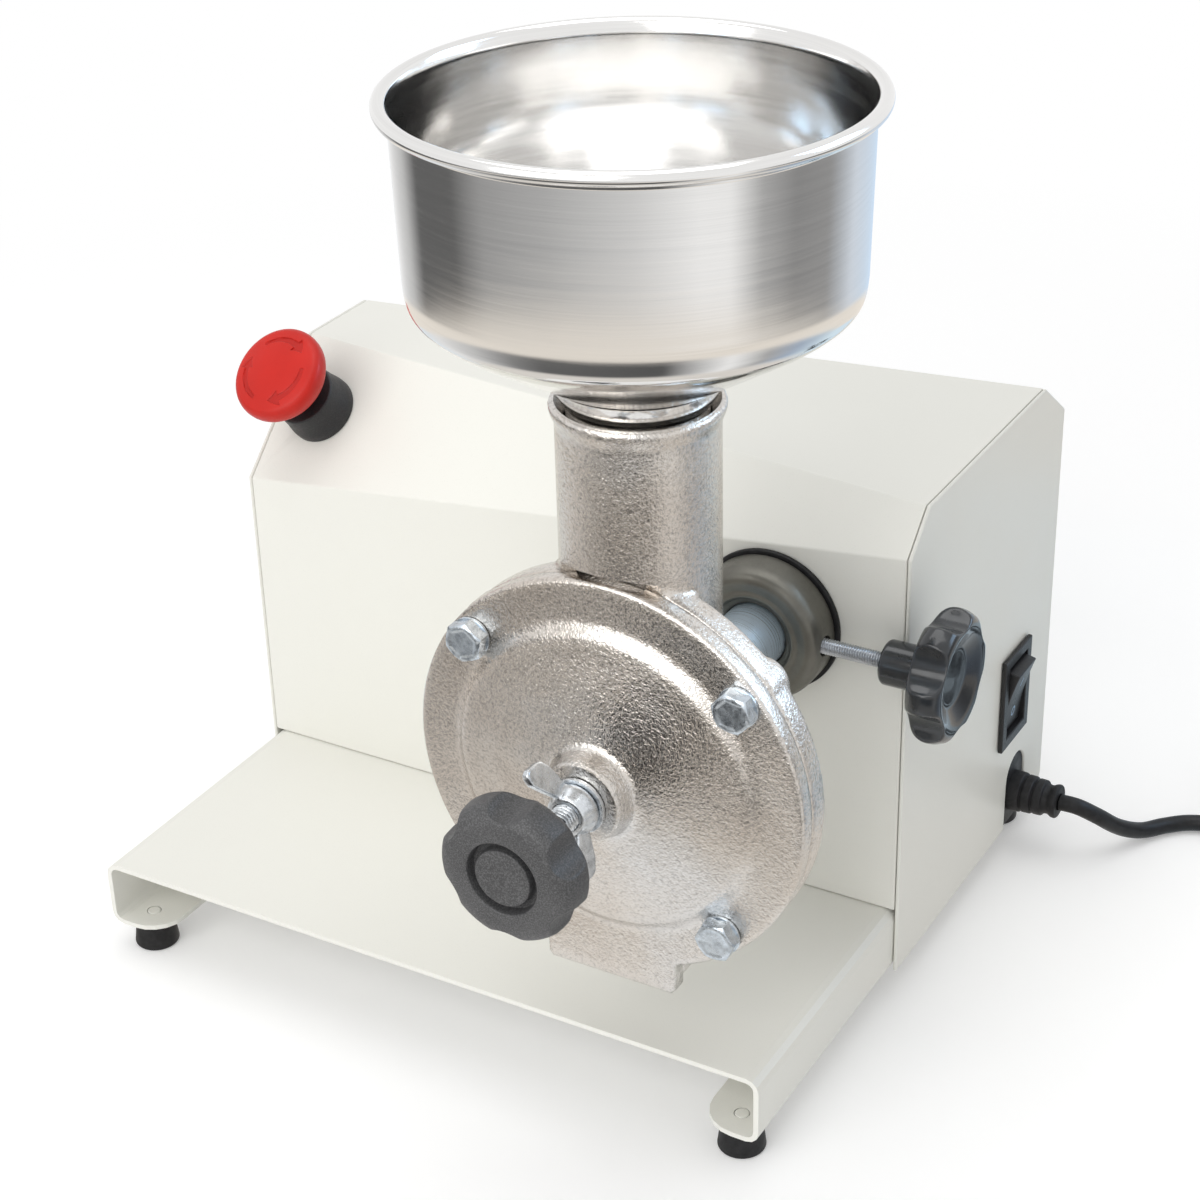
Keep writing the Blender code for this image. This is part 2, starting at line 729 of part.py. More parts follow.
def make_tray():
    middle = at(TRAY_WIDTH / 2, HOUSING_BACK, 0)
    tray = prism("base_tray", tray_outline(), TRAY_DEPTH, upright_frame(middle), "painted_steel")
    for side in (-1, 1):
        for back in (False, True):
            name = "lip_corner_%s_%s" % ("right" if side > 0 else "left", "back" if back else "front")
            cut(tray, lip_corner_cutter(name, side, back))
    for name, (x, y) in foot_places().items():
        hole = turned_frame(at(x, y, LIP_Z - OVERRUN), ALONG_Z)
        hole_length = OVERRUN + TRAY_SHEET + OVERRUN
        cut(tray, rod(name + "_hole", FOOT_STEM_RADIUS + FIT, hole_length, hole, "painted_steel"))
    slot = turned_frame(at(TRAY_WIDTH - TRAY_BEND - OVERRUN, SLOT_Y, CORD_EXIT_Z), ALONG_X)
    slot_length = TRAY_BEND + 2 * OVERRUN
    cut(tray, rod("tray_cord_hole", RELIEF_RADIUS + FIT, slot_length, slot, "painted_steel", HIDDEN_SIDES))
    lead = turned_frame(at(LEAD_HOLE_X, lead_hole_y(), TRAY_TOP - TRAY_SHEET - OVERRUN), ALONG_Z)
    lead_length = TRAY_SHEET + 2 * OVERRUN
    cut(tray, rod("tray_lead_hole", LEAD_HOLE_RADIUS, lead_length, lead, "painted_steel"))


def lead_hole_y():
    """Where the inner lead comes up through the tray."""
    return SLOT_Y + INNER_ROUTE[4][1] * MM


def make_feet():
    barb = LIP_Z + TRAY_SHEET + FIT
    profile = [
        (0, 0),
        (FOOT_RADIUS, 0),
        (FOOT_TOP_RADIUS, FOOT_HEIGHT),
        (FOOT_STEM_RADIUS, FOOT_HEIGHT),
        (FOOT_STEM_RADIUS, barb),
        (FOOT_BARB_RADIUS, barb),
        (FOOT_STEM_RADIUS, barb + FOOT_BARB_HEIGHT),
        (0, barb + FOOT_BARB_HEIGHT),
    ]
    for name, (x, y) in foot_places().items():
        turned(name, profile, turned_frame(at(x, y, 0), ALONG_Z), "rubber", SMALL_SIDES)


# Housing


def slope_normal():
    """The front slope's outward direction."""
    left_foot = at(0, HOUSING_FRONT, FRONT_EDGE_LEFT)
    right_foot = at(TRAY_WIDTH, HOUSING_FRONT, FRONT_EDGE_RIGHT)
    left_ridge = at(0, FRONT_RIDGE_LEFT, HOUSING_TOP)
    return (right_foot - left_foot).cross(left_ridge - left_foot).normalized()


def slope_point(x, y):
    """The point of the front slope over a place."""
    foot = at(0, HOUSING_FRONT, FRONT_EDGE_LEFT)
    normal = slope_normal()
    place = at(x, y, 0)
    height = foot.z - (normal.x * (place.x - foot.x) + normal.y * (place.y - foot.y)) / normal.z
    return Vector((place.x, place.y, height))


def side_outline(left):
    """The housing's outline in Y and Z at one side, from the front foot round the top."""
    front_edge = FRONT_EDGE_LEFT if left else FRONT_EDGE_RIGHT
    front_ridge = FRONT_RIDGE_LEFT if left else FRONT_RIDGE_RIGHT
    back_ridge = BACK_RIDGE_LEFT if left else BACK_RIDGE_RIGHT
    back_edge = BACK_EDGE_LEFT if left else BACK_EDGE_RIGHT
    return [
        (HOUSING_FRONT, front_edge),
        (front_ridge, HOUSING_TOP),
        (back_ridge, HOUSING_TOP),
        (HOUSING_BACK, back_edge),
    ]


def make_wrap():
    """Front, slope, top, back slope and a short back strip, bent from one sheet."""
    rows = []
    for left, x in ((True, 0), (False, TRAY_WIDTH)):
        outline = [(HOUSING_FRONT, WRAP_FOOT)] + side_outline(left)
        back_edge = outline[-1][1]
        outline.append((HOUSING_BACK, back_edge - BACK_STRIP))
        rows.append([at(x, y, z) for y, z in outline])
    points = rows[0] + rows[1]
    count = len(rows[0])
    mesh = bpy.data.meshes.new("housing_wrap")
    faces = [(i, count + i, count + i + 1, i + 1) for i in range(count - 1)]
    mesh.from_pydata([tuple(p) for p in points], [], faces)
    wrap = bpy.data.objects.new("housing_wrap", mesh)
    bpy.context.scene.collection.objects.link(wrap)
    mesh.materials.append(material("painted_steel", "housing_wrap"))
    wall = wrap.modifiers.new("sheet", "SOLIDIFY")
    wall.thickness = HOUSING_SHEET
    wall.offset = -1
    wall.use_even_offset = True
    neck = turned_frame(at(SHAFT_X, HOUSING_FRONT - OVERRUN, SHAFT_Z), ALONG_Y)
    hole_length = HOUSING_SHEET + 2 * OVERRUN
    cut(wrap, rod("wrap_neck_hole", COLLAR_PASS, hole_length, neck, "painted_steel", ROUND_SIDES))
    inward = -slope_normal()
    stop = turned_frame(slope_point(STOP_X, STOP_Y) - inward * OVERRUN, inward)
    stop_radius = STOP_NECK_RADIUS + FIT
    cut(wrap, rod("wrap_stop_hole", stop_radius, hole_length, stop, "painted_steel", HIDDEN_SIDES))
    for name, x in rear_screw_places().items():
        hole = turned_frame(at(x, HOUSING_BACK + OVERRUN, rear_screw_z(x)), FORWARD)
        cut(wrap, rod(name + "_wrap_hole", SCREW_RADIUS + FIT, hole_length, hole, "painted_steel"))


def make_side_panels():
    for left in (True, False):
        name = "side_panel_left" if left else "side_panel_right"
        outline = [(HOUSING_FRONT, LIP_Z)] + side_outline(left)
        outline += [(HOUSING_BACK, LIP_Z + PANEL_HEEL), (HOUSING_BACK - PANEL_HEEL, LIP_Z)]
        x = -SIDE_STACK if left else TRAY_WIDTH + FIT
        panel = prism(name, outline, HOUSING_SHEET, side_frame(at(x, 0, 0)), "painted_steel")
        if not left:
            cut_right_panel(panel)
        soften(panel, PANEL_EDGE_BEVEL)


def cut_right_panel(panel):
    """The switch's window and the cord's slot, which is open at the panel's foot."""
    x = TRAY_WIDTH + FIT - OVERRUN
    depth = HOUSING_SHEET + 2 * OVERRUN
    half_width = SWITCH_WIDTH / 2 - SWITCH_FRAME + FIT
    half_height = SWITCH_HEIGHT / 2 - SWITCH_FRAME + FIT
    window = rectangle(half_width, half_height)
    place = side_frame(at(x, SWITCH_Y, SWITCH_Z))
    cut(panel, prism("switch_window", window, depth, place, "painted_steel"))
    radius = SLOT_WIDTH / 2
    spring = SLOT_TOP - radius
    arch = [(radius, LIP_Z - OVERRUN)] + arc((0, spring), radius, 0, math.pi, 10)
    arch.append((-radius, LIP_Z - OVERRUN))
    cut(panel, prism("cord_slot", arch, depth, side_frame(at(x, SLOT_Y, 0)), "painted_steel"))


def rear_screw_places():
    return {
        "rear_screw_left": REAR_SCREW_INSET,
        "rear_screw_right": TRAY_WIDTH - REAR_SCREW_INSET,
    }


def back_edge_at(x):
    """Height of the back slope's foot at a place along X."""
    return BACK_EDGE_LEFT + (BACK_EDGE_RIGHT - BACK_EDGE_LEFT) * x / TRAY_WIDTH


def rear_screw_z(x):
    return back_edge_at(x) - BACK_STRIP / 2


def make_rear_panel():
    """A flat sheet behind the wrap's back strip, with a row of upright air slots."""
    y = HOUSING_BACK - HOUSING_SHEET - FIT
    top_left = back_edge_at(0) - BACK_STRIP + REAR_PANEL_LAP
    top_right = back_edge_at(TRAY_WIDTH) - BACK_STRIP + REAR_PANEL_LAP
    outline = [(0, WRAP_FOOT), (TRAY_WIDTH, WRAP_FOOT), (TRAY_WIDTH, top_right), (0, top_left)]
    panel = prism("rear_panel", outline, HOUSING_SHEET, upright_frame(at(0, y, 0)), "painted_steel")
    for step in range(VENT_COUNT):
        offset = (step - (VENT_COUNT - 1) / 2) * VENT_PITCH
        radius = VENT_WIDTH / 2
        rise = VENT_HEIGHT / 2 - radius
        slot = arc((0, rise), radius, 0, math.pi, 4) + arc((0, -rise), radius, math.pi, 2 * math.pi, 4)
        place = upright_frame(at(MOTOR_X + offset, y + OVERRUN, VENT_Z))
        length = HOUSING_SHEET + 2 * OVERRUN
        cut(panel, prism("air_slot_%d" % (step + 1), slot, length, place, "painted_steel"))
    for name, x in rear_screw_places().items():
        hole = turned_frame(at(x, y + OVERRUN, rear_screw_z(x)), FORWARD)
        length = HOUSING_SHEET + 2 * OVERRUN
        cut(panel, rod(name + "_hole", SCREW_RADIUS + FIT, length, hole, "painted_steel"))


def make_rear_screws():
    profile = [
        (0, 0),
        (SCREW_RADIUS, 0),
        (SCREW_RADIUS, SCREW_LENGTH),
        (SCREW_HEAD_RADIUS, SCREW_LENGTH),
        (SCREW_HEAD_RADIUS, SCREW_LENGTH + SCREW_HEAD_HEIGHT / 2),
        (SCREW_RADIUS, SCREW_LENGTH + SCREW_HEAD_HEIGHT),
        (0, SCREW_LENGTH + SCREW_HEAD_HEIGHT),
    ]
    for name, x in rear_screw_places().items():
        seat = at(x, HOUSING_BACK + FIT - SCREW_LENGTH, rear_screw_z(x))
        turned(name, profile, turned_frame(seat, ALONG_Y), "zinc_steel", SMALL_SIDES)


# Grinding head


def cover_tab():
    """The lip under the cover, flared into its rim on both sides."""
    left = arc((-TAB_HALF_WIDTH - TAB_FLARE, -TAB_DROP + TAB_FLARE), TAB_FLARE, 0, -math.pi / 3, 3)
    corner = [(-TAB_HALF_WIDTH + 2 * COVER_EDGE, -TAB_DROP), (TAB_HALF_WIDTH - 2 * COVER_EDGE, -TAB_DROP)]
    top = -DRUM_RADIUS
    outline = [(-TAB_HALF_WIDTH, top), (-TAB_HALF_WIDTH, left[0][1])]
    outline += corner + [(TAB_HALF_WIDTH, left[0][1]), (TAB_HALF_WIDTH, top)]
    back = at(SHAFT_X, COVER_BACK_Y, SHAFT_Z)
    return prism("cover_tab", outline, COVER_FLANGE, upright_frame(back), "cast_metal")


def bolt_places():
    """Centres of the cover bolts from the shaft, in X and Z."""
    return [(BOLT_CIRCLE * math.cos(a), BOLT_CIRCLE * math.sin(a)) for a in BOLT_ANGLES]


def make_cover():
    """The front cover: a flat rim, a raised dome and the boss of the adjusting screw."""
    bore = ADJUST_RADIUS + ADJUST_BORE_GAP
    shoulder = COVER_FLANGE + DOME_SHOULDER
    profile = [
        (COVER_RADIUS, 0),
        (COVER_RADIUS, COVER_FLANGE - COVER_EDGE),
        (COVER_RADIUS - COVER_EDGE, COVER_FLANGE),
        (DOME_RADIUS, COVER_FLANGE),
        (DOME_RADIUS - DOME_SHOULDER / 2, shoulder - DOME_SHOULDER / 3),
        (DOME_RADIUS - 2 * DOME_SHOULDER, shoulder),
        ((DOME_RADIUS + BOSS_RADIUS) / 2, (shoulder + DOME_RISE) / 2 + DOME_SHOULDER / 4),
        (BOSS_RADIUS + DOME_SHOULDER, DOME_RISE),
        (BOSS_RADIUS, DOME_RISE + DOME_SHOULDER / 2),
        ((BOSS_RADIUS + BOSS_TOP_RADIUS) / 2, BOSS_HEIGHT - COVER_EDGE),
        (BOSS_TOP_RADIUS, BOSS_HEIGHT),
        (bore, BOSS_HEIGHT),
        (bore, DOME_RISE - DOME_WALL),
        (BOSS_RADIUS, DOME_RISE - DOME_WALL),
        (CHAMBER_RADIUS - DOME_WALL, shoulder - DOME_WALL),
        (CHAMBER_RADIUS, DOME_SHOULDER / 3),
        (CHAMBER_RADIUS, 0),
    ]
    place = turned_frame(at(SHAFT_X, COVER_BACK_Y, SHAFT_Z), FORWARD)
    cover = turned("front_cover", profile, place, "cast_metal", HEAD_SIDES)
    add(cover, cover_tab())
    for step, (x, z) in enumerate(bolt_places()):
        hole = turned_frame(at(SHAFT_X + x, COVER_BACK_Y + OVERRUN, SHAFT_Z + z), FORWARD)
        length = COVER_FLANGE + 2 * OVERRUN
        cut(cover, rod("cover_hole_%d" % (step + 1), BOLT_RADIUS + FIT, length, hole, "cast_metal", HOLE_SIDES))


def body_front():
    return COVER_BACK_Y + FIT


def funnel():
    """The passage from the throat back and down to the auger's barrel."""
    sides = THROAT_SIDES
    levels = [
        (THROAT_Y, THROAT_TOP + OVERRUN, THROAT_BORE),
        (THROAT_Y, FUNNEL_TOP, THROAT_BORE),
        (FUNNEL_FOOT_Y, FUNNEL_FOOT, FUNNEL_FOOT_RADIUS),
        (FUNNEL_FOOT_Y, SHAFT_Z + BURR_RIM, FUNNEL_FOOT_RADIUS),
    ]
    points = []
    for y, z, radius in levels:
        for step in range(sides):
            angle = 2 * math.pi * (step + 0.5) / sides
            points.append((radius * math.cos(angle), y + radius * math.sin(angle), z))
    faces = [tuple(range(sides)), tuple(range(len(points) - sides, len(points)))]
    for level in range(len(levels) - 1):
        base = level * sides
        for step in range(sides):
            following = (step + 1) % sides
            faces.append((base + step, base + following, base + sides + following, base + sides + step))
    return solid("throat_passage", points, faces, flat_frame(at(SHAFT_X, 0, 0)), "cast_metal")


def make_body():
    """The cast body: flange, drum, auger barrel, neck, throat and spout in one piece."""
    front = body_front()
    place = turned_frame(at(SHAFT_X, front, SHAFT_Z), ALONG_Y)
    neck_end = HOUSING_FRONT - NECK_END_GAP - front
    barrel_end = BARREL_END - front
    outside = [
        (0, -FACE_STOCK),
        (COVER_RADIUS, -FACE_STOCK),
        (COVER_RADIUS, BODY_FLANGE - COVER_EDGE),
        (COVER_RADIUS - COVER_EDGE, BODY_FLANGE),
        (DRUM_RADIUS, BODY_FLANGE + COVER_EDGE),
        (DRUM_RADIUS - COVER_EDGE, DRUM_DEPTH),
        (BARREL_RADIUS + 2 * COVER_FLANGE, DRUM_DEPTH + COVER_FLANGE),
        (BARREL_RADIUS, DRUM_DEPTH + 2 * COVER_FLANGE),
        (BARREL_RADIUS, barrel_end),
        (NECK_RADIUS + COVER_EDGE, barrel_end + NECK_ROOT),
        (NECK_RADIUS, barrel_end + NECK_ROOT + COVER_EDGE),
        (NECK_RADIUS, neck_end),
        (0, neck_end),
    ]
    body = turned("grinder_body", outside, place, "cast_metal", HEAD_SIDES)
    throat = [
        (0, SHAFT_Z),
        (THROAT_RADIUS, SHAFT_Z),
        (THROAT_RADIUS, THROAT_TOP - THROAT_BEAD_HEIGHT),
        (THROAT_RADIUS + THROAT_BEAD, THROAT_TOP - THROAT_BEAD_HEIGHT + THROAT_BEAD),
        (THROAT_RADIUS + THROAT_BEAD, THROAT_TOP - THROAT_BEAD / 2),
        (THROAT_RADIUS + THROAT_BEAD / 2, THROAT_TOP),
        (0, THROAT_TOP),
    ]
    throat_place = turned_frame(at(SHAFT_X, THROAT_Y, 0), ALONG_Z)
    add(body, turned("throat_outside", throat, throat_place, "cast_metal", ROUND_SIDES))
    low = at(SHAFT_X - SPOUT_HALF_WIDTH, front - FACE_STOCK, SHAFT_Z - SPOUT_DROP)
    high = at(SHAFT_X + SPOUT_HALF_WIDTH, front + CHAMBER_DEPTH + FIT, SHAFT_Z - DRUM_RADIUS)
    add(body, block("spout_outside", low, high, "cast_metal"))
    room_radius = SPOUT_DROP + OVERRUN
    room = turned_frame(at(SHAFT_X, front, SHAFT_Z), FORWARD)
    low_room = rod("cover_room", COVER_RADIUS + FIT, COVER_RADIUS, room, "cast_metal", HEAD_SIDES)
    low = at(SHAFT_X - SPOUT_HALF_WIDTH - OVERRUN, front - COVER_RADIUS, SHAFT_Z - room_radius)
    high = at(SHAFT_X + SPOUT_HALF_WIDTH + OVERRUN, front, SHAFT_Z - DRUM_RADIUS + OVERRUN)
    add(low_room, block("spout_room", low, high, "cast_metal"))
    cut(body, low_room)
    inside = [
        (0, -OVERRUN),
        (CHAMBER_RADIUS, -OVERRUN),
        (CHAMBER_RADIUS, CHAMBER_DEPTH),
        (BARREL_BORE, CHAMBER_DEPTH),
        (BARREL_BORE, BARREL_BORE_END - front),
        (NECK_BORE, BARREL_BORE_END - front),
        (NECK_BORE, neck_end + OVERRUN),
        (0, neck_end + OVERRUN),
    ]
    room = turned("body_inside", inside, place, "cast_metal", ROUND_SIDES)
    add(room, funnel())
    low = at(SHAFT_X - SPOUT_SLOT_HALF, front - OVERRUN, SHAFT_Z - SPOUT_DROP - OVERRUN)
    slot_back = front + CHAMBER_DEPTH - SPOUT_WALL
    high = at(SHAFT_X + SPOUT_SLOT_HALF, slot_back, SHAFT_Z - CHAMBER_RADIUS + 2 * OVERRUN)
    add(room, block("spout_slot", low, high, "cast_metal"))
    for step, (x, z) in enumerate(bolt_places()):
        hole = turned_frame(at(SHAFT_X + x, front - OVERRUN, SHAFT_Z + z), ALONG_Y)
        length = BODY_FLANGE + 3 * OVERRUN
        name = "body_hole_%d" % (step + 1)
        add(room, rod(name, BOLT_RADIUS + FIT, length, hole, "cast_metal", HOLE_SIDES))
    cut(body, room)


def hexagon(radius, angle, along):
    """The reach of a hexagon whose flats lie at the given radius."""
    sixth = math.pi / 3
    return radius / math.cos((angle + sixth / 2) % sixth - sixth / 2)


def hex_bolt_shape(radius, angle, along):
    """A hexagon over the head and round elsewhere."""
    seat = BOLT_LENGTH + BOLT_WASHER
    if along >= seat and radius * 2 >= BOLT_ACROSS_FLATS:
        return hexagon(radius, angle, along)
    return radius


def make_bolts():
    flats = BOLT_ACROSS_FLATS / 2
    top = BOLT_LENGTH + BOLT_WASHER + BOLT_HEAD
    profile = [
        (0, 0),
        (BOLT_RADIUS, 0),
        (BOLT_RADIUS, BOLT_LENGTH),
        (BOLT_WASHER_RADIUS, BOLT_LENGTH),
        (BOLT_WASHER_RADIUS, BOLT_LENGTH + BOLT_WASHER),
        (flats, BOLT_LENGTH + BOLT_WASHER),
        (flats, top - BOLT_CHAMFER / 2),
        (flats - BOLT_CHAMFER, top),
        (0, top),
    ]
    for step, (x, z) in enumerate(bolt_places()):
        seat_y = COVER_BACK_Y - COVER_FLANGE - FIT
        foot = at(SHAFT_X + x, seat_y + BOLT_LENGTH, SHAFT_Z + z)
        name = "cover_bolt_%d" % (step + 1)
        turned(name, profile, turned_frame(foot, FORWARD), "zinc_steel", BOLT_SIDES, hex_bolt_shape)


def groove_cutters(prefix, face_y, towards):
    """Cutting grooves across a burr's face, leaning off the radius."""
    cutters = []
    for step in range(BURR_TEETH):
        angle = 2 * math.pi * step / BURR_TEETH
        outline = rectangle(BURR_RADIUS / 2, BURR_RIM / 2)
        turn = Matrix.Rotation(angle, 4, "Z")
        shift = Matrix.Translation(Vector((BURR_RADIUS - BURR_RIM, 0, 0)))
        tilt = Matrix.Rotation(BURR_FACE_LEAN, 4, "Z")
        place = turned_frame(at(SHAFT_X, face_y, SHAFT_Z), towards) @ turn @ shift @ tilt
        name = "%s_groove_%d" % (prefix, step + 1)
        shifted = place @ Matrix.Translation(Vector((0, 0, -BURR_GROOVE_DEPTH)))
        cutters.append(prism(name, outline, BURR_GROOVE_DEPTH + OVERRUN, shifted, "burr_steel"))
    return cutters


def make_burrs():
    """Two toothed rings face to face: the rear one stands still, the front one turns."""
    floor = body_front() + CHAMBER_DEPTH
    fixed_back = floor - FIT
    fixed_face = fixed_back - FIXED_BURR_THICKNESS
    profile = [
        (FIXED_BURR_BORE, 0),
        (BURR_RADIUS, 0),
        (BURR_RADIUS, FIXED_BURR_THICKNESS),
        (FIXED_BURR_BORE + BURR_RIM, FIXED_BURR_THICKNESS),
        (FIXED_BURR_BORE, FIXED_BURR_THICKNESS - BURR_RIM),
    ]
    place = turned_frame(at(SHAFT_X, fixed_back, SHAFT_Z), FORWARD)
    fixed = turned("fixed_burr", profile, place, "burr_steel")
    cut(fixed, *groove_cutters("fixed", fixed_face, FORWARD))
    face = fixed_face - BURR_GAP
    profile = [
        (BURR_HUB_BORE, 0),
        (FIXED_BURR_BORE, 0),
        (BURR_RADIUS, 0),
        (BURR_RADIUS, TURNING_BURR_THICKNESS - BURR_RIM),
        (FIXED_BURR_BORE, TURNING_BURR_THICKNESS),
        (BURR_HUB_BORE, TURNING_BURR_THICKNESS),
    ]
    place = turned_frame(at(SHAFT_X, face, SHAFT_Z), FORWARD)
    turning = turned("turning_burr", profile, place, "burr_steel")
    cut(turning, *groove_cutters("turning", face, ALONG_Y))
    return face - TURNING_BURR_THICKNESS


def auger_shape(radius, angle, along):
    """A screw flight: one tall ridge that winds round the core."""
    if radius <= AUGER_CORE:
        return radius
    winding = 2 * math.pi * along / AUGER_PITCH
    off = (angle - winding + math.pi) % (2 * math.pi) - math.pi
    share = max(0, math.cos(off / 2)) ** 8
    return AUGER_CORE + (radius - AUGER_CORE) * share


def shaft_tip():
    """Front end of the auger shaft, which the thrust pad faces."""
    return COVER_BACK_Y - DOME_RISE + DOME_WALL + THRUST_PAD_LENGTH


def make_auger():
    """The auger and its shaft, from the turning burr back to the coupling."""
    tip = shaft_tip()
    start = AUGER_START - tip
    end = BARREL_BORE_END - 2 * FIT - BURR_RIM - tip
    neck = BARREL_BORE_END + FIT - tip
    shaft_end = TONGUE_START - tip
    profile = [(0, 0), (AUGER_CORE, 0), (AUGER_CORE, start)]
    for step in range(AUGER_RINGS):
        profile.append((AUGER_FLIGHT, start + (end - start) * step / (AUGER_RINGS - 1)))
    profile += [
        (AUGER_CORE, end),
        (NECK_SHAFT_RADIUS, neck),
        (NECK_SHAFT_RADIUS, shaft_end),
        (0, shaft_end),
    ]
    place = turned_frame(at(SHAFT_X, tip, SHAFT_Z), ALONG_Y)
    shaft = turned("auger_shaft", profile, place, "zinc_steel", SMALL_SIDES, auger_shape)
    half = NECK_SHAFT_RADIUS - BURR_RIM / 2
    low = at(SHAFT_X - half, TONGUE_START - BURR_RIM, SHAFT_Z - TONGUE_THICKNESS / 2)
    high = at(SHAFT_X + half, TONGUE_START + TONGUE_LENGTH, SHAFT_Z + TONGUE_THICKNESS / 2)
    add(shaft, block("tongue", low, high, "zinc_steel"))


# Adjusting screw and its knob


def scallop_shape(count, depth, power, full_radius):
    """A round edge with evenly spaced finger scallops that fade out inwards."""
    def shape(radius, angle, along):
        fade = max(0, radius / full_radius) ** 4
        hollow = (0.5 + 0.5 * math.cos(count * angle)) ** power
        return radius - depth * fade * hollow
    return shape


def pad_front():
    return shaft_tip() - THRUST_GAP - THRUST_PAD_LENGTH


def boss_face():
    return COVER_BACK_Y - BOSS_HEIGHT


def make_adjuster():
    """Thrust pad, screw, washer, wing nut and knob on the shaft's line, front to back."""
    pad = turned_frame(at(SHAFT_X, pad_front(), SHAFT_Z), ALONG_Y)
    rod("thrust_pad", THRUST_PAD_RADIUS, THRUST_PAD_LENGTH, pad, "brass")
    screw_back = pad_front() - FIT
    knob_back = KNOB_FACE_Y + KNOB_THICKNESS + KNOB_HUB
    screw_front = knob_back - KNOB_BORE_DEPTH + FIT
    screw = turned_frame(at(SHAFT_X, screw_back, SHAFT_Z), FORWARD)
    rod("adjusting_screw", ADJUST_RADIUS, screw_back - screw_front, screw, "zinc_steel")
    washer_back = boss_face() - FIT
    bore = ADJUST_RADIUS + FIT
    profile = [
        (bore, 0),
        (LOCK_WASHER_RADIUS, 0),
        (LOCK_WASHER_RADIUS, LOCK_WASHER),
        (bore, LOCK_WASHER),
    ]
    place = turned_frame(at(SHAFT_X, washer_back, SHAFT_Z), FORWARD)
    turned("lock_washer", profile, place, "zinc_steel", SMALL_SIDES)
    make_wing_nut(washer_back - LOCK_WASHER - FIT)
    make_front_knob()


def wing_outline():
    """One wing, in radius and height: a leaf that leans outwards."""
    root = WING_HUB_TOP_RADIUS / 2
    low = WING_ROOT_GAP
    high = WING_HUB_HEIGHT - WING_ROOT_GAP
    outline = [(root, low), (WING_HUB_RADIUS, low)]
    outline += [(WING_SPAN * out, WING_REACH * up) for out, up in WING_LEAF_SHARES]
    return outline + [(WING_HUB_TOP_RADIUS + WING_FILLET, high), (root, high)]


def make_wing_nut(back):
    origin = at(SHAFT_X, back, SHAFT_Z)
    place = turned_frame(origin, FORWARD)
    hub = [
        (0, 0),
        (WING_HUB_RADIUS, 0),
        (WING_HUB_TOP_RADIUS, WING_HUB_HEIGHT),
        (0, WING_HUB_HEIGHT),
    ]
    nut = turned("wing_nut", hub, place, "zinc_steel", SMALL_SIDES)
    for step, name in enumerate(("upper_wing", "lower_wing")):
        angle = WING_TURN + step * math.pi
        outward = Vector((math.cos(angle), 0, math.sin(angle)))
        leaf = basis_frame(origin, outward, FORWARD)
        leaf = leaf @ Matrix.Translation(Vector((0, 0, -WING_THICKNESS / 2)))
        add(nut, prism(name, wing_outline(), WING_THICKNESS, leaf, "zinc_steel"))
    bore = turned_frame(origin - FORWARD * OVERRUN, FORWARD)
    length = WING_REACH + 2 * OVERRUN
    cut(nut, rod("wing_nut_bore", ADJUST_RADIUS + FIT, length, bore, "zinc_steel"))


def make_front_knob():
    """A knob with six shallow scallops and a ring groove in its face."""
    back = KNOB_FACE_Y + KNOB_THICKNESS + KNOB_HUB
    bore = ADJUST_RADIUS + FIT
    top = KNOB_HUB + KNOB_THICKNESS
    edge = KNOB_EDGE
    profile = [
        (0, KNOB_BORE_DEPTH),
        (bore, KNOB_BORE_DEPTH),
        (bore, 0),
        (KNOB_HUB_RADIUS, 0),
        (KNOB_HUB_RADIUS + edge / 4, KNOB_HUB),
        (KNOB_RADIUS - edge / 2, KNOB_HUB + edge / 8),
        (KNOB_RADIUS, KNOB_HUB + edge / 2),
        (KNOB_RADIUS, top - edge),
        (KNOB_RADIUS - edge / 3, top - edge / 3),
        (KNOB_RADIUS - edge, top),
        (KNOB_GROOVE_OUTER, top - edge / 4),
        (KNOB_GROOVE_OUTER, top - KNOB_GROOVE_DEPTH),
        (KNOB_GROOVE_INNER, top - KNOB_GROOVE_DEPTH),
        (KNOB_GROOVE_INNER, top - edge / 4),
        (0, top - edge / 4),
    ]
    shape = scallop_shape(KNOB_LOBES, KNOB_SCALLOP, 3, KNOB_RADIUS)
    place = turned_frame(at(SHAFT_X, back, SHAFT_Z), FORWARD)
    turned("front_knob", profile, place, "black_plastic", KNOB_SIDES, shape)


# Collar and clamp


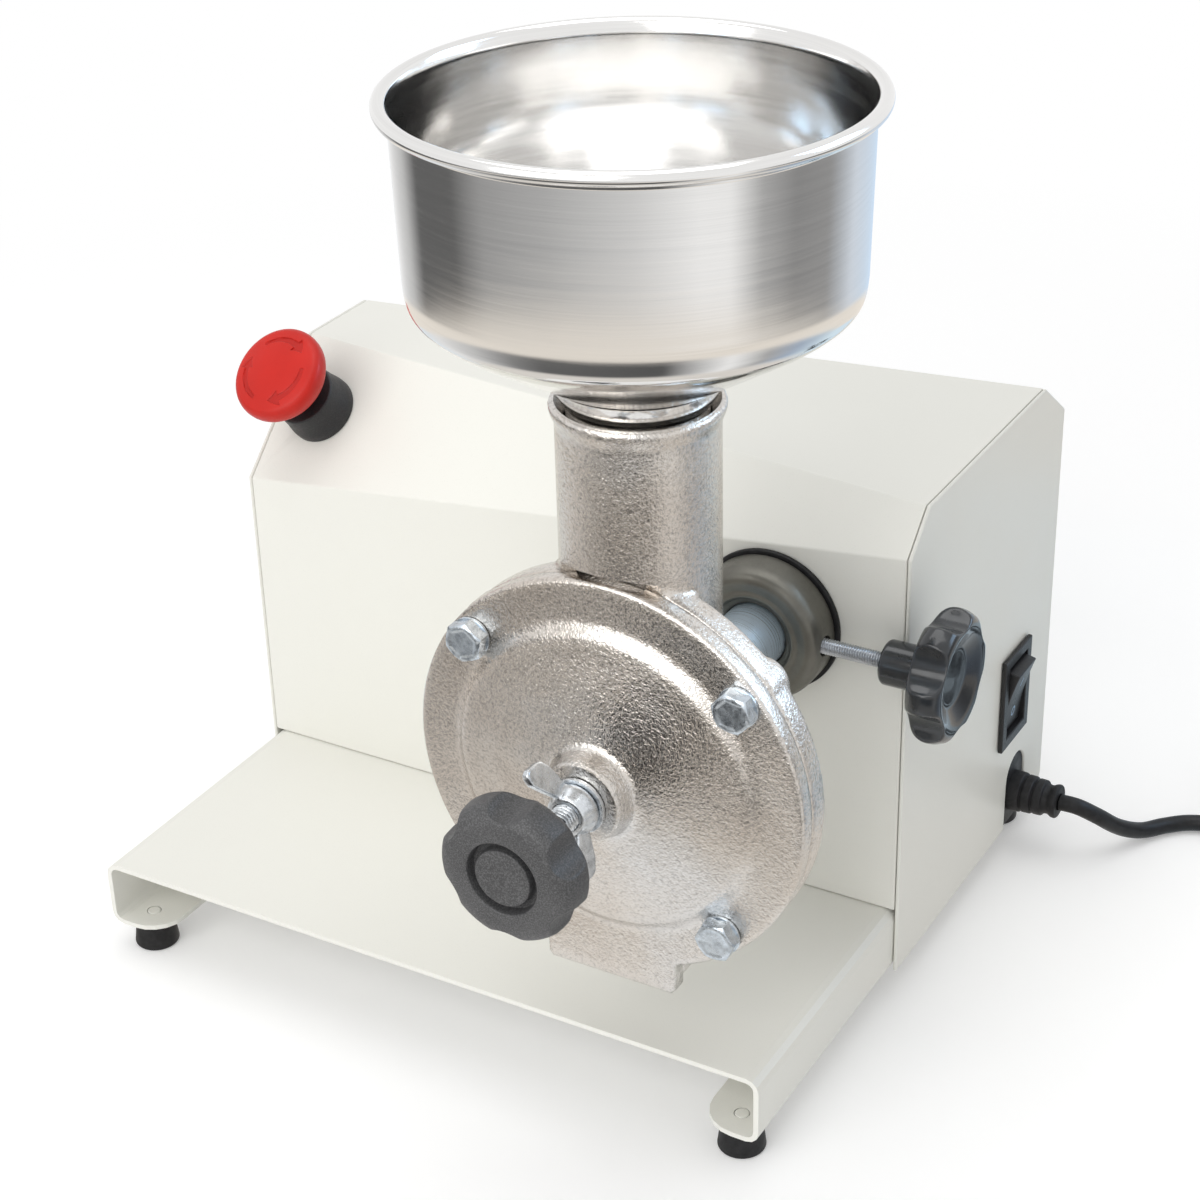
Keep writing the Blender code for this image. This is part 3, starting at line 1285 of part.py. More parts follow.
def make_collar():
    """The dark ring that holds the head's neck, over a flat gasket."""
    gasket_back = HOUSING_FRONT - FIT
    bore = COLLAR_PASS
    profile = [(bore, 0), (GASKET_RADIUS, 0), (GASKET_RADIUS, GASKET), (bore, GASKET)]
    place = turned_frame(at(SHAFT_X, gasket_back, SHAFT_Z), FORWARD)
    turned("collar_gasket", profile, place, "rubber")
    back = gasket_back - GASKET - FIT
    profile = [
        (bore, 0),
        (COLLAR_RADIUS, 0),
        (COLLAR_RADIUS, COLLAR_DEPTH - COLLAR_EDGE),
        (COLLAR_RADIUS - COLLAR_EDGE / 3, COLLAR_DEPTH - COLLAR_EDGE / 3),
        (COLLAR_RADIUS - COLLAR_EDGE, COLLAR_DEPTH),
        (COLLAR_BEAD_RADIUS + COLLAR_BEAD, COLLAR_DEPTH - COLLAR_DISH),
        (COLLAR_BEAD_RADIUS, COLLAR_DEPTH - COLLAR_DISH + COLLAR_BEAD),
        (COLLAR_BEAD_RADIUS - COLLAR_BEAD, COLLAR_DEPTH - COLLAR_DISH),
        (bore, COLLAR_DEPTH - COLLAR_DISH - COLLAR_BEAD),
    ]
    place = turned_frame(at(SHAFT_X, back, SHAFT_Z), FORWARD)
    collar = turned("collar", profile, place, "dark_steel")
    hole = turned_frame(at(SHAFT_X + NECK_RADIUS - OVERRUN, CLAMP_Y, SHAFT_Z), ALONG_X)
    length = COLLAR_RADIUS - NECK_RADIUS + 2 * OVERRUN
    cut(collar, rod("clamp_hole", CLAMP_RADIUS + FIT, length, hole, "dark_steel"))


def make_clamp():
    """The screw that holds the neck from the side: tip, threaded rod and star knob."""
    tip_x = SHAFT_X + NECK_RADIUS + FIT
    tip = turned_frame(at(tip_x, CLAMP_Y, SHAFT_Z), ALONG_X)
    rod("clamp_tip", CLAMP_TIP_RADIUS, CLAMP_TIP_LENGTH, tip, "brass", HOLE_SIDES)
    rod_x = tip_x + CLAMP_TIP_LENGTH + FIT
    rod_end = CLAMP_HUB_X + CLAMP_BORE_DEPTH - FIT
    place = turned_frame(at(rod_x, CLAMP_Y, SHAFT_Z), ALONG_X)
    rod("clamp_rod", CLAMP_RADIUS, rod_end - rod_x, place, "zinc_steel")
    bore = CLAMP_RADIUS + FIT
    top = CLAMP_HUB + CLAMP_KNOB_THICKNESS
    edge = CLAMP_KNOB_EDGE
    profile = [
        (0, CLAMP_BORE_DEPTH),
        (bore, CLAMP_BORE_DEPTH),
        (bore, 0),
        (CLAMP_HUB_RADIUS, 0),
        (CLAMP_HUB_RADIUS, CLAMP_HUB),
        (CLAMP_KNOB_RADIUS - edge, CLAMP_HUB),
        (CLAMP_KNOB_RADIUS, CLAMP_HUB + edge),
        (CLAMP_KNOB_RADIUS, top - edge),
        (CLAMP_KNOB_RADIUS - edge / 3, top - edge / 3),
        (CLAMP_KNOB_RADIUS - edge, top),
        (CLAMP_DISH_RADIUS, top - edge / 4),
        (CLAMP_DISH_FLOOR, top - CLAMP_DISH_DEPTH),
        (0, top - CLAMP_DISH_DEPTH),
    ]
    shape = scallop_shape(CLAMP_KNOB_LOBES, CLAMP_KNOB_SCALLOP, 1, CLAMP_KNOB_RADIUS)
    place = turned_frame(at(CLAMP_HUB_X, CLAMP_Y, SHAFT_Z), ALONG_X)
    turned("clamp_knob", profile, place, "gloss_plastic", KNOB_SIDES, shape)


# Hopper


def make_hopper():
    """A thin bowl with a cone and a spigot, open from the rim to the spigot's foot."""
    wall = HOPPER_SHEET
    seat = THROAT_TOP + FIT
    spigot = THROAT_BORE - FIT
    neck_top = seat + HOPPER_NECK_HEIGHT
    bowl_top = RIM_Z - RIM_BEAD - wall / 2
    outside = [(spigot, seat - SPIGOT_LENGTH), (spigot, seat)]
    outside += [(HOPPER_NECK_RADIUS, seat), (HOPPER_NECK_RADIUS, neck_top)]
    outside += corner_curve((CONE_TOP_RADIUS, CONE_TOP), (BOWL_FOOT_RADIUS, BOWL_FOOT))
    outside.append((BOWL_RADIUS, bowl_top))
    bead = (BOWL_RADIUS + RIM_BEAD - wall / 2, RIM_Z)
    outside += arc(bead, RIM_BEAD, RIM_BEAD_START, RIM_BEAD_END, RIM_BEAD_SIDES)
    inside = [(BOWL_RADIUS - wall, bowl_top)]
    inside += [(BOWL_FOOT_RADIUS - wall, BOWL_FOOT + wall / 2)]
    inside += [(CONE_TOP_RADIUS - wall / 2, CONE_TOP + wall)]
    inside += [(HOPPER_NECK_RADIUS - wall, neck_top + wall / 2)]
    inside += [(HOPPER_NECK_RADIUS - wall, seat + wall), (spigot - wall, seat + wall)]
    inside.append((spigot - wall, seat - SPIGOT_LENGTH))
    place = turned_frame(at(SHAFT_X, THROAT_Y, 0), ALONG_Z)
    turned("hopper", outside + inside, place, "polished_steel", HOPPER_SIDES)


def corner_curve(start, end):
    """A rounded run from the cone's top into the bowl's upright wall."""
    out = start[0] + (end[0] - start[0]) * CORNER_OUT_SHARE
    up = start[1] + (end[1] - start[1]) * CORNER_UP_SHARE
    corner = (out, up)
    points = []
    for step in range(CONE_CORNER_STEPS + 1):
        t = step / CONE_CORNER_STEPS
        a = (1 - t) * (1 - t)
        b = 2 * t * (1 - t)
        c = t * t
        points.append((a * start[0] + b * corner[0] + c * end[0], a * start[1] + b * corner[1] + c * end[1]))
    return points


# Drive inside the housing


def bearing_starts():
    """Where each bearing's front face lies along Y."""
    front = HOUSING_FRONT + HOUSING_SHEET + FIT + BEARING_SEAT_INSET
    back = front + BEARING_HOUSING_LENGTH - 2 * BEARING_SEAT_INSET - BEARING_WIDTH
    return front, back


def make_bearing_housing():
    """A flanged barrel on the front sheet's inner face, with a bearing at each end."""
    start = HOUSING_FRONT + HOUSING_SHEET + FIT
    seat = BEARING_OUTER + FIT
    front, back = bearing_starts()
    front_end = front + BEARING_WIDTH + FIT - start
    back_start = back - FIT - start
    profile = [
        (seat, 0),
        (BEARING_FLANGE_RADIUS, 0),
        (BEARING_FLANGE_RADIUS, BEARING_FLANGE),
        (BEARING_BARREL_RADIUS, BEARING_FLANGE),
        (BEARING_BARREL_RADIUS, BEARING_HOUSING_LENGTH),
        (seat, BEARING_HOUSING_LENGTH),
        (seat, back_start),
        (BEARING_SHOULDER, back_start),
        (BEARING_SHOULDER, front_end),
        (seat, front_end),
    ]
    place = turned_frame(at(SHAFT_X, start, SHAFT_Z), ALONG_Y)
    turned("bearing_housing", profile, place, "aluminium", HIDDEN_SIDES)
    for name, y in (("bearing_front", front), ("bearing_back", back)):
        profile = [
            (BEARING_BORE, 0),
            (BEARING_RACE_INNER, 0),
            (BEARING_RACE_INNER, BEARING_RACE_STEP),
            (BEARING_RACE_OUTER, BEARING_RACE_STEP),
            (BEARING_RACE_OUTER, 0),
            (BEARING_OUTER, 0),
            (BEARING_OUTER, BEARING_WIDTH),
            (BEARING_BORE, BEARING_WIDTH),
        ]
        turned(name, profile, turned_frame(at(SHAFT_X, y, SHAFT_Z), ALONG_Y), "zinc_steel", HIDDEN_SIDES)


def make_spindle():
    """The driven spindle: a slotted head that takes the auger's tongue, and a long shaft."""
    start = TONGUE_START + FIT
    head_end = SPINDLE_HEAD_END - start
    profile = [
        (0, 0),
        (SPINDLE_HEAD_RADIUS, 0),
        (SPINDLE_HEAD_RADIUS, head_end),
        (SPINDLE_RADIUS, head_end),
        (SPINDLE_RADIUS, SPINDLE_END - start),
        (0, SPINDLE_END - start),
    ]
    place = turned_frame(at(SHAFT_X, start, SHAFT_Z), ALONG_Y)
    spindle = turned("drive_spindle", profile, place, "zinc_steel", SMALL_SIDES)
    half = TONGUE_THICKNESS / 2 + FIT
    low = at(SHAFT_X - 2 * SPINDLE_HEAD_RADIUS, start - OVERRUN, SHAFT_Z - half)
    high = at(SHAFT_X + 2 * SPINDLE_HEAD_RADIUS, TONGUE_START + TONGUE_LENGTH + FIT, SHAFT_Z + half)
    cut(spindle, block("spindle_slot", low, high, "zinc_steel"))


def pulley(name, floor_radius, bore, x, z):
    """A flanged pulley centred on the belt's plane."""
    half = PULLEY_WIDTH / 2
    rim = floor_radius + PULLEY_LIP
    inner = half - PULLEY_FLANGE
    profile = [
        (bore, -half),
        (rim, -half),
        (rim, -inner - PULLEY_FLANGE / 3),
        (floor_radius, -inner),
        (floor_radius, inner),
        (rim, inner + PULLEY_FLANGE / 3),
        (rim, half),
        (bore, half),
    ]
    turned(name, profile, turned_frame(at(x, BELT_Y, z), ALONG_Y), "aluminium", HIDDEN_SIDES)


def motor_z():
    return WRAP_FOOT + BRACKET_PLATE + MOTOR_RADIUS + FIT


def belt_loop(small_radius, large_radius):
    """The outline of a belt round both pulleys, in X and Z from the motor's axis."""
    dx = SHAFT_X - MOTOR_X
    dz = SHAFT_Z - motor_z()
    distance = math.hypot(dx, dz)
    heading = math.atan2(dz, dx)
    wrap = math.acos((small_radius - large_radius) / distance)
    small = arc((0, 0), small_radius, heading + wrap, heading + 2 * math.pi - wrap, BELT_ARC_STEPS)
    large = arc((dx, dz), large_radius, heading - wrap, heading + wrap, BELT_ARC_STEPS)
    return small + large


def make_belt_drive():
    pulley("driven_pulley", DRIVEN_FLOOR_RADIUS, SPINDLE_RADIUS + FIT, SHAFT_X, SHAFT_Z)
    pulley("motor_pulley", MOTOR_FLOOR_RADIUS, ROTOR_SHAFT_RADIUS + FIT, MOTOR_X, motor_z())
    inner = belt_loop(MOTOR_FLOOR_RADIUS + belt_seat(), DRIVEN_FLOOR_RADIUS + belt_seat())
    reach = belt_seat() + BELT_THICKNESS
    outer = belt_loop(MOTOR_FLOOR_RADIUS + reach, DRIVEN_FLOOR_RADIUS + reach)
    count = len(inner)
    points = []
    for y in (0, BELT_WIDTH):
        points += [(x, z, y) for x, z in outer]
        points += [(x, z, y) for x, z in inner]
    faces = []
    for i in range(count):
        j = (i + 1) % count
        faces.append((i, j, count + j, count + i))
        faces.append((2 * count + i, 2 * count + j, 3 * count + j, 3 * count + i))
        faces.append((i, j, 2 * count + j, 2 * count + i))
        faces.append((count + i, count + j, 3 * count + j, 3 * count + i))
    place = upright_frame(at(MOTOR_X, BELT_Y + BELT_WIDTH / 2, motor_z()))
    solid("belt", points, faces, place, "belt_rubber")


def belt_seat():
    """The belt's inner face stands this far off a pulley's floor."""
    return 2 * FIT


def make_motor():
    """Shell, stator, rotor, two end caps and a saddle bracket under the shell."""
    z = motor_z()
    place = turned_frame(at(MOTOR_X, MOTOR_FRONT, z), ALONG_Y)
    bore = MOTOR_RADIUS - MOTOR_WALL
    shell = [(bore, 0), (MOTOR_RADIUS, 0), (MOTOR_RADIUS, MOTOR_LENGTH), (bore, MOTOR_LENGTH)]
    turned("motor_shell", shell, place, "motor_shell", HIDDEN_SIDES)
    stator_start = STATOR_INSET
    stator_end = MOTOR_LENGTH - STATOR_INSET
    ring = bore - FIT
    stator = [
        (STATOR_BORE, stator_start),
        (ring, stator_start),
        (ring, stator_end),
        (STATOR_BORE, stator_end),
    ]
    turned("motor_stator", stator, place, "lamination", HIDDEN_SIDES)
    shaft_hole = ROTOR_SHAFT_RADIUS + RUN
    cap = [
        (shaft_hole, 0),
        (MOTOR_CAP_NOSE, 0),
        (MOTOR_CAP_NOSE + MOTOR_CAP_WALL, MOTOR_CAP / 2),
        (MOTOR_RADIUS - MOTOR_CAP_WALL, MOTOR_CAP / 2 + MOTOR_CAP_WALL / 2),
        (MOTOR_RADIUS, MOTOR_CAP),
        (bore - MOTOR_CAP_WALL, MOTOR_CAP),
        (bore - 2 * MOTOR_CAP_WALL, MOTOR_CAP - MOTOR_CAP_WALL / 2),
        (shaft_hole, MOTOR_CAP - MOTOR_CAP_WALL / 2),
    ]
    front = turned_frame(at(MOTOR_X, MOTOR_FRONT - FIT - MOTOR_CAP, z), ALONG_Y)
    back = turned_frame(at(MOTOR_X, MOTOR_FRONT + MOTOR_LENGTH + FIT + MOTOR_CAP, z), FORWARD)
    turned("motor_cap_front", cap, front, "aluminium", HIDDEN_SIDES)
    turned("motor_cap_back", cap, back, "aluminium", HIDDEN_SIDES)
    nose = MOTOR_FRONT - MOTOR_CAP - 2 * FIT
    rotor = [
        (0, 0),
        (ROTOR_SHAFT_RADIUS, 0),
        (ROTOR_SHAFT_RADIUS, MOTOR_FRONT + stator_start - nose),
        (ROTOR_RADIUS, MOTOR_FRONT + stator_start - nose),
        (ROTOR_RADIUS, MOTOR_FRONT + stator_end - nose),
        (ROTOR_SHAFT_RADIUS, MOTOR_FRONT + stator_end - nose),
        (ROTOR_SHAFT_RADIUS, ROTOR_END - nose),
        (0, ROTOR_END - nose),
    ]
    turned("motor_rotor", rotor, turned_frame(at(MOTOR_X, nose, z), ALONG_Y), "zinc_steel", HIDDEN_SIDES)
    middle = MOTOR_FRONT + MOTOR_LENGTH / 2
    low = at(MOTOR_X - BRACKET_WIDTH / 2, middle - BRACKET_DEPTH / 2, WRAP_FOOT)
    high = at(MOTOR_X + BRACKET_WIDTH / 2, middle + BRACKET_DEPTH / 2, WRAP_FOOT + BRACKET_PLATE + BRACKET_RISE)
    bracket = block("motor_bracket", low, high, "motor_shell")
    saddle = turned_frame(at(MOTOR_X, middle - BRACKET_DEPTH, z), ALONG_Y)
    cut(bracket, rod("motor_saddle", MOTOR_RADIUS + FIT, 2 * BRACKET_DEPTH, saddle, "motor_shell", HIDDEN_SIDES))


def make_electrics():
    """Start capacitor and terminal block, standing on the tray inside the housing."""
    profile = [
        (0, 0),
        (CAPACITOR_RADIUS, 0),
        (CAPACITOR_RADIUS, CAPACITOR_HEIGHT),
        (CAPACITOR_CAP_RADIUS, CAPACITOR_HEIGHT + FIT),
        (CAPACITOR_CAP_RADIUS, CAPACITOR_HEIGHT + CAPACITOR_CAP),
        (0, CAPACITOR_HEIGHT + CAPACITOR_CAP),
    ]
    place = turned_frame(at(CAPACITOR_X, CAPACITOR_Y, WRAP_FOOT), ALONG_Z)
    turned("capacitor", profile, place, "capacitor_case", HIDDEN_SIDES)
    low = at(TERMINAL_X - TERMINAL_LENGTH / 2, TERMINAL_Y - TERMINAL_DEPTH / 2, WRAP_FOOT)
    high = at(TERMINAL_X + TERMINAL_LENGTH / 2, TERMINAL_Y + TERMINAL_DEPTH / 2, WRAP_FOOT + TERMINAL_HEIGHT)
    terminal = block("terminal_block", low, high, "terminal_plastic")
    for step in range(TERMINAL_POLES):
        x = TERMINAL_X + (step - (TERMINAL_POLES - 1) / 2) * TERMINAL_LENGTH / TERMINAL_POLES
        well_z = WRAP_FOOT + TERMINAL_HEIGHT - TERMINAL_WELL_DEPTH
        well = turned_frame(at(x, TERMINAL_Y, well_z), ALONG_Z)
        length = TERMINAL_WELL_DEPTH + OVERRUN
        cut(terminal, rod("terminal_well_%d" % (step + 1), TERMINAL_WELL, length, well, "brass", HOLE_SIDES))


# Emergency stop


def stop_frame(height):
    """A placing on the stop button's line, its local Z out of the slope."""
    normal = slope_normal()
    return turned_frame(slope_point(STOP_X, STOP_Y) + normal * height, normal)


def make_stop_button():
    """Collar and neck through the slope, nut and contact block inside, stem and red head."""
    neck_foot = -STOP_NECK_LENGTH
    collar = [
        (STOP_BORE, neck_foot),
        (STOP_NECK_RADIUS, neck_foot),
        (STOP_NECK_RADIUS, FIT),
        (STOP_COLLAR_RADIUS, FIT),
        (STOP_COLLAR_RADIUS, STOP_COLLAR_HEIGHT / 4),
        (STOP_COLLAR_TOP_RADIUS, STOP_COLLAR_HEIGHT),
        (STOP_BORE, STOP_COLLAR_HEIGHT),
    ]
    turned("stop_collar", collar, stop_frame(0), "black_plastic", HIDDEN_SIDES)
    nut_top = -HOUSING_SHEET - 2 * FIT
    nut_bore = STOP_NECK_RADIUS + FIT
    nut = [
        (nut_bore, nut_top - STOP_NUT),
        (STOP_NUT_RADIUS, nut_top - STOP_NUT),
        (STOP_NUT_RADIUS, nut_top),
        (nut_bore, nut_top),
    ]
    turned("stop_nut", nut, stop_frame(0), "zinc_steel", HIDDEN_SIDES)
    block_top = neck_foot - FIT
    outline = rectangle(STOP_BLOCK_WIDTH / 2, STOP_BLOCK_DEPTH / 2)
    place = stop_frame(block_top - STOP_BLOCK_HEIGHT)
    contact = prism("stop_contact_block", outline, STOP_BLOCK_HEIGHT, place, "black_plastic")
    well_depth = STOP_TRAVEL + 2 * FIT
    well = stop_frame(block_top - well_depth)
    cut(contact, rod("stop_well", STOP_BORE, well_depth + OVERRUN, well, "black_plastic"))
    skirt_foot = STOP_COLLAR_HEIGHT + STOP_TRAVEL + FIT
    stem_top = skirt_foot + STOP_SKIRT - FIT
    stem_foot = block_top
    head_floor = stem_top + FIT
    stem = [
        (0, stem_foot),
        (STOP_STEM_RADIUS, stem_foot),
        (STOP_STEM_RADIUS, stem_top),
        (0, stem_top),
    ]
    turned("stop_stem", stem, stop_frame(0), "black_plastic")
    inner = STOP_STEM_RADIUS + FIT
    face = skirt_foot + STOP_SKIRT + STOP_HEAD_HEIGHT
    head = [
        (0, head_floor),
        (inner, head_floor),
        (inner, skirt_foot),
        (STOP_SKIRT_RADIUS, skirt_foot),
        (STOP_SKIRT_RADIUS + STOP_HEAD_EDGE / 3, skirt_foot + STOP_SKIRT / 2),
        (STOP_HEAD_RADIUS - STOP_HEAD_EDGE, skirt_foot + STOP_SKIRT),
        (STOP_HEAD_RADIUS, face - STOP_HEAD_HEIGHT / 2),
        (STOP_HEAD_RADIUS - STOP_HEAD_EDGE / 4, face - STOP_HEAD_EDGE - STOP_HEAD_CROWN / 2),
        (STOP_HEAD_RADIUS - STOP_HEAD_EDGE, face - STOP_HEAD_CROWN),
        (STOP_HEAD_RADIUS / 2, face - STOP_HEAD_CROWN / 4),
        (0, face),
    ]
    turned("stop_head", head, stop_frame(0), "red_plastic", ROUND_SIDES)


# Rocker switch


def make_switch():
    """A bezel and body in one moulding, and the rocker that tilts in it."""
    bezel_back = PANEL_FACE_X + FIT
    outline = rectangle(SWITCH_WIDTH / 2, SWITCH_HEIGHT / 2)
    place = side_frame(at(bezel_back, SWITCH_Y, SWITCH_Z))
    housing = prism("switch_housing", outline, SWITCH_BEZEL, place, "black_plastic")
    body_half = (SWITCH_WIDTH / 2 - SWITCH_FRAME, SWITCH_HEIGHT / 2 - SWITCH_FRAME)
    place = side_frame(at(bezel_back - SWITCH_BODY_DEPTH, SWITCH_Y, SWITCH_Z))
    length = SWITCH_BODY_DEPTH + SWITCH_BEZEL / 2
    add(housing, prism("switch_body", rectangle(*body_half), length, place, "black_plastic"))
    well = rectangle(body_half[0] - SWITCH_WALL, body_half[1] - SWITCH_WALL)
    floor = bezel_back - SWITCH_BODY_DEPTH + SWITCH_FLOOR
    place = side_frame(at(floor, SWITCH_Y, SWITCH_Z))
    length = SWITCH_BODY_DEPTH - SWITCH_FLOOR + SWITCH_BEZEL + OVERRUN
    cut(housing, prism("switch_well", well, length, place, "black_plastic"))
    make_rocker(bezel_back, body_half)


def rocker_pivot():
    """The rocker turns about this line along Y."""
    face = PANEL_FACE_X + FIT + SWITCH_BEZEL
    return at(face - ROCKER_PIVOT_DEPTH, SWITCH_Y, SWITCH_Z)


def make_rocker(bezel_back, body_half):
    """A shallow V in section: its top end stands proud, its foot lies in the bezel."""
    half_width = body_half[0] - SWITCH_WALL - ROCKER_GAP
    half_height = body_half[1] - SWITCH_WALL - 2 * ROCKER_GAP
    outline = []
    tip = ROCKER_PIVOT_DEPTH + ROCKER_PROUD / 3
    end = half_height * math.cos(ROCKER_TILT)
    front = [(end, tip), (0, ROCKER_PIVOT_DEPTH - ROCKER_PROUD / 2), (-end, tip)]
    back = [(-end, tip - ROCKER_THICKNESS), (0, -ROCKER_ROOT), (end, tip - ROCKER_THICKNESS)]
    for height, out in front + back:
        turned_out = out * math.cos(ROCKER_TILT) + height * math.sin(ROCKER_TILT)
        turned_up = height * math.cos(ROCKER_TILT) - out * math.sin(ROCKER_TILT)
        outline.append((turned_out, turned_up))
    place = basis_frame(rocker_pivot() + ALONG_Y * half_width, ALONG_X, ALONG_Z)
    prism("switch_rocker", outline, 2 * half_width, place, "black_plastic")


# Cord


def make_strain_relief():
    """A ribbed, tapered boot with a plate behind the tray's flange."""
    plate_face = TRAY_WIDTH - TRAY_SHEET - FIT
    start = plate_face - RELIEF_PLATE
    end = PANEL_FACE_X + RELIEF_LENGTH
    profile = [(0, 0), (RELIEF_PLATE_RADIUS, 0), (RELIEF_PLATE_RADIUS, RELIEF_PLATE / 3)]
    profile.append((RELIEF_PLATE_FACE, RELIEF_PLATE))
    profile.append((RELIEF_RADIUS, RELIEF_PLATE))
    ribs_start = PANEL_FACE_X - start
    rib = RELIEF_LENGTH / RELIEF_RIBS
    for step in range(RELIEF_RIBS):
        share = step / (RELIEF_RIBS - 1)
        radius = RELIEF_RADIUS + (RELIEF_TIP_RADIUS - RELIEF_RADIUS) * share
        base = ribs_start + step * rib
        profile.append((radius, base))
        profile.append((radius, base + rib * RIB_CREST_SHARE))
        if step < RELIEF_RIBS - 1:
            profile.append((radius - RELIEF_GROOVE, base + rib * RIB_FALL_SHARE))
            profile.append((radius - RELIEF_GROOVE, base + rib * RIB_RISE_SHARE))
    profile.append((RELIEF_TIP_RADIUS, end - start))
    profile.append((0, end - start))
    place = turned_frame(at(start, SLOT_Y, CORD_EXIT_Z), ALONG_X)
    turned("strain_relief", profile, place, "rubber", SMALL_SIDES)


def smooth_route(route, count):
    """Even points along a smooth curve through the route's own points."""
    knots = [at(PANEL_FACE_X + x * MM, SLOT_Y + y * MM, z * MM) for x, y, z in route]
    fine = []
    last = len(knots) - 1
    for i in range(last):
        before = knots[max(i - 1, 0)]
        here = knots[i]
        there = knots[i + 1]
        after = knots[min(i + 2, last)]
        for step in range(12):
            t = step / 12
            fine.append(catmull(before, here, there, after, t))
    fine.append(knots[-1])
    lengths = [0]
    for a, b in zip(fine, fine[1:]):
        lengths.append(lengths[-1] + (b - a).length)
    points = []
    index = 0
    for step in range(count):
        target = lengths[-1] * step / (count - 1)
        while index < len(lengths) - 2 and lengths[index + 1] < target:
            index += 1
        span = lengths[index + 1] - lengths[index]
        share = (target - lengths[index]) / span
        points.append(fine[index].lerp(fine[index + 1], share))
    return points


def catmull(before, here, there, after, t):
    """A point between two route points, with smooth joins at both."""
    bend = 2 * before - 5 * here + 4 * there - after
    twist = -before + 3 * here - 3 * there + after
    return 0.5 * (2 * here + (there - before) * t + bend * t * t + twist * t * t * t)


def tube(name, points, radius, resolution, finish):
    """A round tube along points, closed at both ends."""
    curve = bpy.data.curves.new(name, "CURVE")
    curve.dimensions = "3D"
    curve.bevel_depth = radius
    curve.bevel_resolution = resolution
    curve.use_fill_caps = True
    line = curve.splines.new("POLY")
    line.points.add(len(points) - 1)
    for spot, point in zip(line.points, points):
        spot.co = (*point, 1)
    piece = bpy.data.objects.new(name, curve)
    bpy.context.scene.collection.objects.link(piece)
    curve.materials.append(material(finish, name))
    return piece


def coil_points():
    """Loops that wind in along the floor, climb a layer and wind out again."""
    base = CORD_RADIUS + COIL_LIFT
    total = COIL_TURNS_DOWN + COIL_TURNS_CLIMB + COIL_TURNS_UP
    inner = COIL_OUTER - COIL_PITCH * COIL_TURNS_DOWN - COIL_TUCK
    climbed = COIL_TURNS_DOWN + COIL_TURNS_CLIMB
    count = round(total * COIL_STEPS)
    points = []
    for step in range(count + 1):
        turns = step / COIL_STEPS
        if turns <= COIL_TURNS_DOWN:
            tuck = max(0, (turns - COIL_TURNS_DOWN) / COIL_TURNS_CLIMB + 1)
            radius = COIL_OUTER - COIL_PITCH * turns - COIL_TUCK * tuck
            layer = 0
        elif turns <= COIL_TURNS_DOWN + COIL_TURNS_CLIMB:
            radius = inner
            share = (turns - COIL_TURNS_DOWN) / COIL_TURNS_CLIMB
            layer = 0.5 - 0.5 * math.cos(math.pi * share)
        else:
            tuck = min(1, (turns - climbed) / COIL_TURNS_CLIMB)
            radius = inner + COIL_PITCH * (turns - climbed) + COIL_TUCK * tuck
            layer = 1
        angle = -math.pi / 2 + 2 * math.pi * turns
        x = COIL_X + radius * math.cos(angle)
        y = COIL_Y + radius * math.sin(angle)
        points.append(at(x, y, base + COIL_PITCH * layer))
    return points


def make_cord():
    """Free stretch, coil, tie and plug, all on the floor beside the machine."""
    tube("cord_lead", smooth_route(CORD_ROUTE, CORD_STEPS), CORD_RADIUS, 2, "cord_rubber")
    tube("inner_lead", smooth_route(INNER_ROUTE, INNER_STEPS), INNER_RADIUS, 1, "cord_rubber")
    loops = coil_points()
    loops.insert(0, loops[0] - ALONG_X * COIL_LEAD_IN)
    end = loops[-1]
    steps = 4
    for step in range(1, steps + 1):
        loops.append(end + ALONG_X * (COIL_TAIL * step / steps))
    print("coil's least gap to itself in mm:", round(least_gap(loops) / MM, 2))
    tube("cord_coil", loops, CORD_RADIUS, 1, "cord_rubber")
    make_tie()
    make_plug(end + ALONG_X * (COIL_TAIL + FIT))


def least_gap(points):
    """How near the tube comes to itself, apart from its own run of points."""
    nearest = COIL_OUTER
    apart = COIL_STEPS // 2
    for i, a in enumerate(points):
        for b in points[i + apart:]:
            nearest = min(nearest, (a - b).length)
    return nearest - 2 * CORD_RADIUS


def make_tie():
    """A flat band round all the turns at one place of the coil."""
    inner = COIL_OUTER - COIL_PITCH * COIL_TURNS_DOWN - COIL_TUCK
    low = inner - CORD_RADIUS - TIE_SLACK
    high = COIL_OUTER + CORD_RADIUS + TIE_GAP
    foot = COIL_LIFT - TIE_GAP
    top = COIL_LIFT + 2 * CORD_RADIUS + COIL_PITCH + TIE_GAP
    wall = TIE_THICKNESS
    outline = [(low - wall, foot - wall), (high + wall, foot - wall), (high + wall, top + wall)]
    outline.append((low - wall, top + wall))
    window = [(low, foot), (high, foot), (high, top), (low, top)]
    outward = Vector((math.cos(TIE_ANGLE), math.sin(TIE_ANGLE), 0))
    place = basis_frame(at(COIL_X, COIL_Y, 0), outward, ALONG_Z)
    band = place @ Matrix.Translation(Vector((0, 0, -TIE_WIDTH / 2)))
    tie = prism("coil_tie", outline, TIE_WIDTH, band, "black_plastic")
    hole = place @ Matrix.Translation(Vector((0, 0, -TIE_WIDTH)))
    cut(tie, prism("coil_tie_window", window, 2 * TIE_WIDTH, hole, "black_plastic"))


